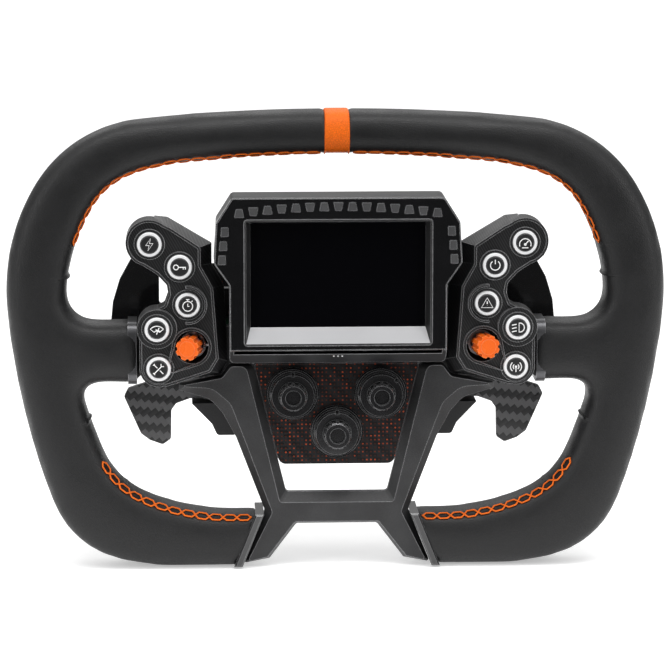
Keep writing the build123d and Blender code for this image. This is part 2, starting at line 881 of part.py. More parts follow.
with BuildPart() as lcd_panel:
    with BuildSketch(front(surround_back - panel_thick)):
        with Locations((0, (screen_bottom + screen_top) / 2)):
            Rectangle(
                2 * (screen_half_width + panel_margin), screen_top - screen_bottom + 2 * panel_margin
            )
    extrude(amount=panel_thick)
save(lcd_panel, "lcd_panel")

with BuildPart() as led_light_guides:
    with BuildSketch(front(bezel_back)):
        for outline in light_places():
            draw_corners(outline)
    extrude(amount=bezel_thick + light_proud)
save(led_light_guides, "led_light_guides")

# ---------------------------------------------------------------- control pods
pod_outline = [
    (94.0, 62.0), (89.5, 61.0), (82.7, 57.7), (68.1, 48.0), (68.1, 38.9), (62.0, 27.8), (59.4, -8.0),
    (63.6, -14.8), (86.0, -22.0), (98.8, -14.0), (98.8, 7.0), (90.0, 17.0), (86.2, 19.0), (84.2, 24.6),
    (85.0, 29.5), (90.0, 34.9), (103.0, 43.2), (105.2, 50.0),
]
pod_flare_outline = [
    (91.0, 62.3), (84.5, 61.6), (62.5, 48.5), (62.5, 38.0), (56.4, 27.0), (54.6, -11.5), (58.5, -17.8),
    (84.0, -22.4), (90.0, -10.0), (90.0, 12.0), (80.0, 30.0), (90.0, 50.0),
]
pod_flare_face = [
    (90.0, 60.6), (84.0, 58.2), (68.4, 48.0), (68.4, 38.9), (62.3, 27.8), (59.8, -8.0), (63.8, -14.5),
    (86.0, -21.5), (90.0, -10.0), (90.0, 12.0), (80.0, 30.0), (90.0, 50.0),
]
pod_rounds = [(93.6, 50.4, 11.6), (90.0, 7.3, large_boss), (89.4, -12.6, 9.5)]


def draw_pod(side):
    """Face outline of a control pod with its round corners."""
    draw_outline(on_side(side, pod_outline), pod_corner)
    for across, height, radius in pod_rounds:
        with Locations((side * across, height)):
            Circle(radius)


def teardrop(side, radius):
    """Outline round a thumb stick that tapers down and outwards."""
    across, height = stick_place
    with BuildSketch() as drop:
        with Locations((side * across, height)):
            Circle(radius)
        with Locations((side * (across + teardrop_across), height - teardrop_down)):
            Circle(radius / 4)
        make_hull()
    return drop.sketch


def stick_plane(side, along):
    """Plane across the stick's canted axis, a given distance ahead of its pivot."""
    lean = radians(stick_cant)
    axis = Vector(side * sin(lean), -cos(lean), 0)
    across, height = stick_place
    pivot = Vector(side * (across - stick_shift), -stick_pivot, height)
    return Plane(origin=pivot + axis * along, x_dir=(cos(lean), side * sin(lean), 0), z_dir=axis)


def trunnion_rod(side, radius, inner_end, outer_end):
    """Rod through the stick's pivot, level and across its axis."""
    across_plane = stick_plane(side, 0)
    rod_plane = Plane(
        origin=across_plane.origin - across_plane.x_dir * side * inner_end,
        x_dir=across_plane.y_dir,
        z_dir=across_plane.x_dir * side,
    )
    with BuildPart() as rod:
        with BuildSketch(rod_plane):
            Circle(radius)
        extrude(amount=inner_end + outer_end)
    return rod.part


def make_pod(side, name):
    """Pod shell: face, walls that flare towards the display, bosses, guard and stick recess."""
    with BuildPart() as pod_shell:
        with BuildSketch(front(core_front + pod_cover_thick)):
            draw_pod(side)
        extrude(amount=pod_front - core_front - pod_cover_thick)
        with BuildSketch(front(core_front + pod_cover_thick)):
            draw_corners(on_side(side, pod_flare_outline))
        with BuildSketch(front(pod_front - 1)):
            draw_corners(on_side(side, pod_flare_face))
        loft(ruled=True)
        with BuildSketch(front(core_front + pod_cover_thick)):
            draw_pod(side)
            offset(amount=-cover_wall)
        extrude(amount=pod_front - core_front - pod_cover_thick - pod_face_thick, mode=Mode.SUBTRACT)
        with BuildSketch(front(pod_front)):
            draw_pod(side)
        extrude(amount=pod_border_tall)
        with BuildSketch(front(pod_front)):
            draw_pod(side)
            offset(amount=-pod_border)
        extrude(amount=pod_border_tall, mode=Mode.SUBTRACT)
        for across, height, rise in buttons.values():
            with BuildSketch(front(pod_front - pod_face_thick)):
                with Locations((side * across, height)):
                    Circle(ring_radius + boss_wall)
            extrude(amount=pod_face_thick + rise)
        across, height, rise = buttons["boss"]
        with BuildSketch(front(pod_front - pod_face_thick)):
            with Locations((side * across, height)):
                Circle(large_boss)
        extrude(amount=pod_face_thick + rise - large_boss_step)
        across, height, rise = buttons["third"]
        with BuildSketch(front(pod_front - 1)):
            with Locations((side * across, height)):
                Circle(guard_outer)
                Circle(guard_inner, mode=Mode.SUBTRACT)
                with Locations((side * guard_gap_across, 0)):
                    Rectangle(guard_gap, 3 * guard_outer, mode=Mode.SUBTRACT)
        extrude(amount=guard_tall + 1)
        with BuildSketch(front(pod_front - 1)):
            add(teardrop(side, stick_well + well_wall))
            add(teardrop(side, stick_well), mode=Mode.SUBTRACT)
        extrude(amount=teardrop_tall + 1)
        with BuildSketch(front(core_front + pod_cover_thick)):
            with Locations((side * stick_place[0], stick_place[1])):
                Circle(stick_well + well_wall)
        extrude(amount=pod_front - core_front - pod_cover_thick)
        for across, height, rise in buttons.values():
            with BuildSketch(front(core_front + pod_cover_thick + 2)):
                with Locations((side * across, height)):
                    Circle(ring_radius + fit_gap)
            extrude(amount=cut_through, mode=Mode.SUBTRACT)
        with BuildSketch(front(core_front + pod_cover_thick)):
            with Locations((side * stick_place[0], stick_place[1])):
                Circle(stick_well)
        extrude(amount=cut_through, mode=Mode.SUBTRACT)
        add(
            trunnion_rod(side, trunnion + fit_gap, trunnion_inner + fit_gap, trunnion_outer + fit_gap),
            mode=Mode.SUBTRACT,
        )
    save(pod_shell, name)


make_pod(LEFT, "left_pod_shell")
make_pod(RIGHT, "right_pod_shell")

cover_back = core_front
cover_front = core_front + pod_cover_thick
board_front = cover_front + button_board_thick
switch_top = board_front + switch_tall

with BuildPart() as pod_covers:
    for side in SIDES.values():
        with BuildSketch(front(cover_back)):
            draw_pod(side)
            draw_corners(on_side(side, pod_flare_outline))
            with Locations((side * pod_cable_across, cable_height)):
                Rectangle(3, cable_width + 2, mode=Mode.SUBTRACT)
        extrude(amount=pod_cover_thick)
save(pod_covers, "pod_covers")

with BuildPart() as button_switches:
    for side in SIDES.values():
        for across, height, rise in buttons.values():
            with BuildSketch(front(board_front)):
                with Locations((side * across, height)):
                    RectangleRounded(switch_body, switch_body, 0.5)
            extrude(amount=switch_body_tall)
            with BuildSketch(front(board_front + switch_body_tall)):
                with Locations((side * across, height)):
                    Circle(switch_plunger)
            extrude(amount=switch_top - board_front - switch_body_tall)
save(button_switches, "button_switches")

with BuildPart() as button_light_rings:
    for side in SIDES.values():
        for across, height, rise in buttons.values():
            with BuildSketch(front(pod_front + rise - ring_tall)):
                with Locations((side * across, height)):
                    Circle(ring_radius)
            extrude(amount=ring_tall + ring_proud)
    chamfer(button_light_rings.faces().filter_by(Axis.Y).group_by(Axis.Y)[0].edges(), length=light_chamfer)
    chamfer(button_light_rings.faces().filter_by(Axis.Y).group_by(Axis.Y)[1].edges(), length=light_chamfer)
    for side in SIDES.values():
        for across, height, rise in buttons.values():
            with BuildSketch(front(cover_front)):
                with Locations((side * across, height)):
                    Circle(cap_radius + running_gap)
            extrude(amount=cut_through, mode=Mode.SUBTRACT)
save(button_light_rings, "button_light_rings")

for side in SIDES.values():
    for button_name, (across, height, rise) in zip(button_names[side], buttons.values()):
        ring_base = pod_front + rise - ring_tall
        with BuildPart() as cap:
            with BuildSketch(front(ring_base - 1)):
                with Locations((side * across, height)):
                    Circle(cap_flange)
            extrude(amount=cap_flange_tall)
            with BuildSketch(front(ring_base - 1 + cap_flange_tall)):
                with Locations((side * across, height)):
                    Circle(cap_radius)
            extrude(amount=ring_tall + cap_proud)
            chamfer(cap.faces().sort_by(Axis.Y)[0].edges(), length=cap_chamfer)
            with BuildSketch(front(switch_top + button_travel + switch_gap)):
                with Locations((side * across, height)):
                    Circle(cap_stem)
            extrude(amount=ring_base - 1 - switch_top - button_travel - switch_gap)
        save(cap, button_name)

for side_name, side in SIDES.items():
    with BuildPart() as gimbal:
        add(trunnion_rod(side, trunnion, trunnion_inner, trunnion_outer))
        with BuildSketch(stick_plane(side, -gimbal_half)):
            Circle(gimbal_outer)
        extrude(amount=2 * gimbal_half)
        with BuildSketch(stick_plane(side, -gimbal_half)):
            Circle(gimbal_inner)
        extrude(amount=2 * gimbal_half, mode=Mode.SUBTRACT)
        with BuildSketch(Plane.XY.offset(stick_place[1] - gimbal_outer)):
            with Locations((side * (stick_place[0] - stick_shift), -stick_pivot)):
                Circle(yoke_pin + fit_gap)
        extrude(amount=2 * gimbal_outer, mode=Mode.SUBTRACT)
    save(gimbal, f"{side_name}_stick_gimbal")
    with BuildPart() as yoke:
        with BuildSketch(stick_plane(side, -gimbal_half)):
            Circle(yoke_radius)
        extrude(amount=2 * gimbal_half)
        with BuildSketch(Plane.XY.offset(stick_place[1] - yoke_reach)):
            with Locations((side * (stick_place[0] - stick_shift), -stick_pivot)):
                Circle(yoke_pin)
        extrude(amount=2 * yoke_reach)
        with BuildSketch(stick_plane(side, -gimbal_half)):
            Circle(spindle + fit_gap)
        extrude(amount=2 * gimbal_half, mode=Mode.SUBTRACT)
    save(yoke, f"{side_name}_stick_yoke")
    with BuildPart() as spindle_piece:
        with BuildSketch(stick_plane(side, spindle_back)):
            Circle(spindle + spindle_flange)
        extrude(amount=spindle_flange)
        with BuildSketch(stick_plane(side, spindle_back)):
            Circle(spindle)
        extrude(amount=spindle_front - spindle_back)
    save(spindle_piece, f"{side_name}_stick_spindle")
    with BuildPart() as thumb_knob:
        with BuildSketch(stick_plane(side, stick_knob_back)):
            Circle(stick_radius)
        extrude(amount=stick_knob_front - stick_knob_back)
        with BuildSketch(stick_plane(side, stick_knob_back)):
            with PolarLocations(stick_radius + stick_notch_out, stick_notches):
                Circle(stick_notch)
        extrude(amount=cut_through, mode=Mode.SUBTRACT)
        with BuildSketch(stick_plane(side, stick_knob_front)):
            Circle(stick_radius)
            Circle(stick_dish, mode=Mode.SUBTRACT)
        extrude(amount=-stick_dish_deep, mode=Mode.SUBTRACT)
        with BuildSketch(stick_plane(side, stick_knob_back)):
            Circle(spindle + fit_gap)
        extrude(amount=spindle_front - stick_knob_back + end_gap / 2, mode=Mode.SUBTRACT)
    save(thumb_knob, f"{side_name}_stick_knob")


# ---------------------------------------------------------------- paddles
shift_outline = [
    (60, 8), (84, 8), (89.2, 13), (89.2, 38), (93, 42), (99, 42), (104, 34.7), (109.4, 24.9), (113, 13),
    (114, 2.6), (113, -10), (106, -15), (90, -15), (84, -9), (60, -9),
]
clutch_outline = [
    (60, -24), (92, -26), (96, -27.5), (105.5, -30.5), (107.6, -34.7), (99.1, -54.1), (94.5, -57.6),
    (87.9, -60), (83.7, -57), (83.4, -42), (81, -38.6), (73.8, -36), (60, -36),
]
# each kind: outline, depth of its back face, middle height of its barrel, half the barrel
paddle_kinds = {
    "shift": (shift_outline, 12.5, 0.0, 10.0),
    "clutch": (clutch_outline, 20.0, -30.0, 7.0),
}
mount_outline = [(50, 22), (68, 22), (73.5, 16), (73.8, -36.5), (62.6, -48.2), (60, -54), (50, -54)]


def hinge_post(side, radius, low, high):
    """Upright cylinder about a paddle's hinge line."""
    with BuildPart() as post:
        with BuildSketch(Plane.XY.offset(low)):
            with Locations((side * hinge_across, -hinge_depth)):
                Circle(radius)
        extrude(amount=high - low)
    return post.part


for side_name, side in SIDES.items():
    for kind, (outline, depth, middle, half_tall) in paddle_kinds.items():
        with BuildPart() as paddle:
            with BuildSketch(front(depth)):
                draw_outline(on_side(side, outline), paddle_corner)
            extrude(amount=paddle_thick)
            add(hinge_post(side, hinge_barrel, middle - half_tall, middle + half_tall))
            add(
                hinge_post(side, hinge_pin + fit_gap, middle - half_tall, middle + half_tall),
                mode=Mode.SUBTRACT,
            )
        save(paddle, f"{side_name}_{kind}_paddle")
    with BuildPart() as mount:
        with BuildSketch(front(mount_back)):
            draw_outline(on_side(side, mount_outline), paddle_corner)
        extrude(amount=mount_front - mount_back)
        for outline, depth, middle, half_tall in paddle_kinds.values():
            with BuildSketch(front(pocket_back)):
                with Locations((side * (pocket_inner + cut_through), middle)):
                    Rectangle(2 * cut_through, 2 * half_tall + 1)
            extrude(amount=2 * cut_through, mode=Mode.SUBTRACT)
            add(
                hinge_post(
                    side, hinge_pin + fit_gap,
                    middle - half_tall - pin_hole_past, middle + half_tall + pin_hole_past,
                ),
                mode=Mode.SUBTRACT,
            )
            with BuildSketch(front(mount_back)):
                with Locations((side * magnet_across, middle)):
                    Circle(magnet_radius + fit_gap)
            extrude(amount=cut_through, mode=Mode.SUBTRACT)
    save(mount, f"{side_name}_paddle_mount")

with BuildPart() as paddle_pins:
    for side in SIDES.values():
        for outline, depth, middle, half_tall in paddle_kinds.values():
            add(hinge_post(side, hinge_pin, middle - half_tall - pin_past, middle + half_tall + pin_past))
save(paddle_pins, "paddle_pins")

with BuildPart() as paddle_magnets:
    with BuildSketch(front(mount_back + magnet_inset)):
        for side in SIDES.values():
            for outline, depth, middle, half_tall in paddle_kinds.values():
                with Locations((side * magnet_across, middle)):
                    Circle(magnet_radius)
    extrude(amount=pocket_back - mount_back - magnet_inset - magnet_end_gap)
save(paddle_magnets, "paddle_magnets")


# ---------------------------------------------------------------- electronics in the rear housing
with BuildPart() as main_board:
    with BuildSketch(front(main_board_depth)):
        with Locations((0, main_board_height)):
            RectangleRounded(main_board_wide, main_board_tall, 3)
    extrude(amount=board_thick)
    with BuildSketch(front(main_board_depth + board_thick)):
        for across, height, wide, tall in board_chips:
            with Locations((across, height)):
                Rectangle(wide, tall)
    extrude(amount=chip_thick)
save(main_board, "main_board")

with BuildPart() as small_boards:
    with BuildSketch(front(surround_back - panel_thick - board_thick)):
        with Locations((0, (screen_bottom + screen_top) / 2 + 1)):
            RectangleRounded(display_board_wide, display_board_tall, 3)
    extrude(amount=board_thick)
    with BuildSketch(front(surround_back - panel_thick)):
        with Locations((-side_board_across, side_board_height), (side_board_across, side_board_height)):
            Rectangle(side_board_thick, side_board_tall)
    extrude(amount=side_board_deep)
    for side in SIDES.values():
        with BuildSketch(front(cover_front)):
            draw_pod(side)
            offset(amount=-cover_wall - board_edge_gap)
            with Locations((side * stick_place[0], stick_place[1])):
                Circle(stick_well + well_wall + loose_gap, mode=Mode.SUBTRACT)
        extrude(amount=board_front - cover_front)
    with BuildSketch(front(hinge_depth - sensor_long / 2)):
        for side in SIDES.values():
            for outline, depth, middle, half_tall in paddle_kinds.values():
                with Locations((side * (pocket_inner + sensor_thick / 2), middle)):
                    Rectangle(sensor_thick, sensor_tall)
    extrude(amount=sensor_long)
save(small_boards, "small_boards")

with BuildPart() as ribbon_cables:
    with BuildSketch(front(main_board_depth + board_thick)):
        with Locations((0, cable_height)):
            Rectangle(cable_width, cable_thick)
    extrude(amount=surround_back - panel_thick - 2 * board_thick - main_board_depth)
    for side in SIDES.values():
        with BuildSketch(front(main_board_depth + board_thick)):
            with Locations((side * cable_across, cable_height)):
                Rectangle(cable_thick, cable_width)
        extrude(amount=cable_depth - main_board_depth - board_thick)
        with BuildSketch(front(cable_depth)):
            with Locations((side * (cable_across + pod_cable_across) / 2, cable_height)):
                Rectangle(pod_cable_across - cable_across + cable_thick, cable_width)
        extrude(amount=cable_thick)
        with BuildSketch(front(cable_depth)):
            with Locations((side * pod_cable_across, cable_height)):
                Rectangle(cable_thick, cable_width)
        extrude(amount=cover_front - cable_depth)
save(ribbon_cables, "ribbon_cables")
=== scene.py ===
"""Dresses the racing wheel: sewn leather grip, frame, control pods, display, rotaries and paddles."""

import json
import logging
import math
from collections.abc import Callable
from dataclasses import dataclass, field
from enum import Enum

import bpy
from mathutils import Matrix, Vector
from mathutils.bvhtree import BVHTree
from mathutils.kdtree import KDTree

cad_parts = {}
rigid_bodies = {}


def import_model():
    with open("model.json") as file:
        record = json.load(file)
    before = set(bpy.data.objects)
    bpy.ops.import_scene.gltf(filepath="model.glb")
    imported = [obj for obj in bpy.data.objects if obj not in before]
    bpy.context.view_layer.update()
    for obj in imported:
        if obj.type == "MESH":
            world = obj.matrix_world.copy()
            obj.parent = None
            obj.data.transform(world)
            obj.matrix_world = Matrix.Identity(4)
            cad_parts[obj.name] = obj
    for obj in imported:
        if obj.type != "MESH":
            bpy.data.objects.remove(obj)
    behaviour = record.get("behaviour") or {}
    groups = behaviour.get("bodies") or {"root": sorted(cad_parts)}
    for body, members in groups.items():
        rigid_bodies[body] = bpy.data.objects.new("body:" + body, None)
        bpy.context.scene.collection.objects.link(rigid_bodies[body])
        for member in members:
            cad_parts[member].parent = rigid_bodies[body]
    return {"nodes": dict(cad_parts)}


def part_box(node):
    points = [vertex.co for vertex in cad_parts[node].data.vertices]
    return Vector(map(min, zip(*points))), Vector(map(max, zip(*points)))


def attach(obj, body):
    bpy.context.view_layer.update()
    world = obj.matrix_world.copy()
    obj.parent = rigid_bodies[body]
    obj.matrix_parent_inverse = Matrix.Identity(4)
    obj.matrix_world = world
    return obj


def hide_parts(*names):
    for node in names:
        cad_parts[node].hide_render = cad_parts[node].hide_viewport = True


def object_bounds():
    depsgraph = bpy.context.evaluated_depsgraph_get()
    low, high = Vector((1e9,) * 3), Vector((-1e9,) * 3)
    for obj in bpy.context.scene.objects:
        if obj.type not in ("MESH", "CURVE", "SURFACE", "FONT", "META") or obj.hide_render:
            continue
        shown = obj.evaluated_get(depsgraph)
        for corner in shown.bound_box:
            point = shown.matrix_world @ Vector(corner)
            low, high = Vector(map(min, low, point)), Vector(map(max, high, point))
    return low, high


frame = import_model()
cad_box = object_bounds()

log = logging.getLogger("racing_wheel")

Colour = tuple[float, float, float]
Place = tuple[float, float]
Stroke = tuple[list[Place], bool]
FaceTest = Callable[[Vector, Vector], bool]

MM = 0.001
MERGE = 0.00001
ACROSS = Vector((1.0, 0.0, 0.0))
SWAP_SIDES = Matrix.Diagonal((-1, 1, 1, 1))
BODY = "wheel"


class Side(Enum):
    """The two sides of the wheel, as the driver sees them."""

    LEFT = -1
    RIGHT = 1

    @property
    def word(self) -> str:
        """The side's name in lower case."""
        return self.name.lower()


class Slot(Enum):
    """Names of the record's material slots; no piece in the script takes its finish from them."""

    LEATHER = "black_leather"
    ORANGE_LEATHER = "orange_leather"
    LIGHT = "light_ring"
    SILVER = "surround_silver"


# Selecting and shaping


def deselect_all() -> None:
    """Leaves edit mode and clears the selection."""
    if bpy.context.object and bpy.context.object.mode != "OBJECT":
        bpy.ops.object.mode_set(mode="OBJECT")
    bpy.ops.object.select_all(action="DESELECT")


def make_active(piece: bpy.types.Object) -> None:
    """Selects one object alone and makes it the active one.

    Args:
        piece: The object to work on.
    """
    deselect_all()
    piece.select_set(True)
    bpy.context.view_layer.objects.active = piece


def apply_modifier(piece: bpy.types.Object, kind: str, **settings: object) -> None:
    """Adds a modifier, sets it and applies it.

    Args:
        piece: The object to change.
        kind: Blender's name for the modifier.
        **settings: Values for the modifier's properties.
    """
    make_active(piece)
    modifier = piece.modifiers.new(kind.title(), kind)
    for name, value in settings.items():
        setattr(modifier, name, value)
    bpy.ops.object.modifier_apply(modifier=modifier.name)


def copy_of(piece: bpy.types.Object, name: str) -> bpy.types.Object:
    """Copies an object with a mesh of its own and no parent.

    Args:
        piece: The object to copy.
        name: The copy's name.

    Returns:
        The copy, linked to the scene.
    """
    made = bpy.data.objects.new(name, piece.data.copy())
    made.data.materials.clear()
    bpy.context.scene.collection.objects.link(made)
    return made


def join_all(pieces: list[bpy.types.Object], name: str) -> bpy.types.Object:
    """Joins several objects into one.

    Args:
        pieces: The objects to join, the first of which stays.
        name: The joined object's name.

    Returns:
        The joined object.
    """
    deselect_all()
    for piece in pieces:
        piece.select_set(True)
    bpy.context.view_layer.objects.active = pieces[0]
    if len(pieces) > 1:
        bpy.ops.object.join()
    pieces[0].name = name
    return pieces[0]


def select_faces(piece: bpy.types.Object, test: FaceTest) -> int:
    """Selects the faces whose centre and normal pass a test, in edit mode's face mode.

    Args:
        piece: The object in edit mode.
        test: A function of a face's centre and normal that returns True to select it.

    Returns:
        How many faces are selected.
    """
    bpy.ops.object.mode_set(mode="EDIT")
    bpy.ops.mesh.select_mode(type="FACE")
    bpy.ops.mesh.select_all(action="DESELECT")
    bpy.ops.object.mode_set(mode="OBJECT")
    count = 0
    for face in piece.data.polygons:
        face.select = bool(test(face.center, face.normal))
        count += face.select
    bpy.ops.object.mode_set(mode="EDIT")
    return count


def settle_mesh(piece: bpy.types.Object) -> None:
    """Applies an object's place to its mesh and turns its faces outwards.

    Args:
        piece: A mesh object.
    """
    make_active(piece)
    bpy.ops.object.transform_apply(location=True, rotation=True, scale=True)
    bpy.ops.object.mode_set(mode="EDIT")
    bpy.ops.mesh.select_all(action="SELECT")
    bpy.ops.mesh.normals_make_consistent(inside=False)
    bpy.ops.object.mode_set(mode="OBJECT")


def mirrored(piece: bpy.types.Object, name: str) -> bpy.types.Object:
    """Copies a piece to the other side of the wheel.

    Args:
        piece: The piece to copy.
        name: The copy's name.

    Returns:
        The mirrored copy, its faces outwards.
    """
    made = copy_of(piece, name)
    made.data.transform(SWAP_SIDES)
    settle_mesh(made)
    return made


def surface_of(piece: bpy.types.Object) -> BVHTree:
    """Sorts a piece's faces so that rays can find them.

    Args:
        piece: The piece to sort.

    Returns:
        The tree of its faces.
    """
    return BVHTree.FromPolygons(
        [vertex.co for vertex in piece.data.vertices],
        [tuple(face.vertices) for face in piece.data.polygons],
    )


def paint(piece: bpy.types.Object, material: bpy.types.Material) -> None:
    """Gives an object one material in all its slots.

    Args:
        piece: A CAD node or a new piece.
        material: The material to set.
    """
    if not piece.material_slots:
        piece.data.materials.append(material)
    for material_slot in piece.material_slots:
        material_slot.material = material


def drawn_strokes(
    name: str, strokes: list[Stroke], thickness: float, resolution: int = 2
) -> bpy.types.Object:
    """Makes round threads along flat polylines and turns them into one mesh at the origin.

    Args:
        name: The object's name.
        strokes: For each thread its points across and up, in metres, and whether it is a loop.
        thickness: The thread's diameter in metres.
        resolution: How finely the thread is rounded.

    Returns:
        The mesh object, its flat side facing the driver.
    """
    outline = bpy.data.curves.new(name, "CURVE")
    outline.dimensions = "3D"
    outline.bevel_depth = thickness / 2
    outline.bevel_resolution = resolution
    outline.use_fill_caps = True
    for points, closed in strokes:
        line = outline.splines.new("POLY")
        line.points.add(len(points) - 1)
        for spot, point in zip(line.points, points):
            spot.co = (point[0], 0.0, point[1], 1.0)
        line.use_cyclic_u = closed
    piece = bpy.data.objects.new(name, outline)
    bpy.context.scene.collection.objects.link(piece)
    make_active(piece)
    bpy.ops.object.convert(target="MESH")
    return bpy.context.view_layer.objects.active


# Node trees


@dataclass
class Bench:
    """Adds and joins nodes in one node tree.

    Attributes:
        tree: The node tree being built.
    """

    tree: bpy.types.NodeTree

    def feed(self, socket: bpy.types.NodeSocket, value: object) -> None:
        """Links a socket to another one, or sets its value.

        Args:
            socket: The socket to fill.
            value: Another socket, or the value itself.
        """
        if isinstance(value, bpy.types.NodeSocket):
            self.tree.links.new(value, socket)
        else:
            socket.default_value = value

    def add(self, kind: str, settings: dict | None = None, **inputs: object) -> bpy.types.Node:
        """Adds a shader node.

        Args:
            kind: The node's type without its ShaderNode prefix.
            settings: Values for the node's properties.
            **inputs: Values or sockets for its inputs, with underscores for spaces.

        Returns:
            The new node.
        """
        node = self.tree.nodes.new("ShaderNode" + kind)
        for name, value in (settings or {}).items():
            setattr(node, name, value)
        for name, value in inputs.items():
            self.feed(node.inputs[name.replace("_", " ")], value)
        return node

    def math(self, operation: str, *values: object, clamp: bool = False) -> bpy.types.NodeSocket:
        """Adds a Math node and returns its result.

        Args:
            operation: The node's operation.
            *values: What goes into it, in order.
            clamp: Whether the result stays between 0 and 1.

        Returns:
            The result.
        """
        node = self.add("Math", {"operation": operation, "use_clamp": clamp})
        for socket, value in zip(node.inputs, values):
            self.feed(socket, value)
        return node.outputs[0]

    def spread(
        self, value: object, low: object, high: object, start: float = 0.0, end: float = 1.0
    ) -> bpy.types.NodeSocket:
        """Maps a value's range from start to end onto low to high, clamped.

        Args:
            value: The value to map.
            low: Result at the start.
            high: Result at the end.
            start: Value at the start.
            end: Value at the end.

        Returns:
            The mapped value.
        """
        node = self.add("MapRange", Value=value, From_Min=start, From_Max=end)
        self.feed(node.inputs["To Min"], low)
        self.feed(node.inputs["To Max"], high)
        return node.outputs["Result"]

    def tint(self, mask: object, first: object, second: object) -> bpy.types.NodeSocket:
        """Blends two colours by a mask.

        Args:
            mask: How much of the second colour shows.
            first: The colour where the mask is 0.
            second: The colour where it is 1.

        Returns:
            The blended colour.
        """
        node = self.add("Mix", {"data_type": "RGBA"})
        self.feed(node.inputs[0], mask)
        for socket, value in ((node.inputs[6], first), (node.inputs[7], second)):
            self.feed(socket, (*value, 1.0) if isinstance(value, tuple) else value)
        return node.outputs[2]

    def axes(self, vector: bpy.types.NodeSocket) -> list[bpy.types.NodeSocket]:
        """Splits a vector into its three parts."""
        return list(self.add("SeparateXYZ", Vector=vector).outputs)


class Effect(Enum):
    """The shared effects, each a node group built once."""

    MOTTLE = "mottle"
    GRAIN = "grain"
    PEBBLE = "pebble"
    TWILL = "twill"
    CUT_LINES = "cut_lines"
    EDGE_WEAR = "edge_wear"
    # The edge mask carries a painted highlight along the edges.
    DOT_GRID = "dot_grid"


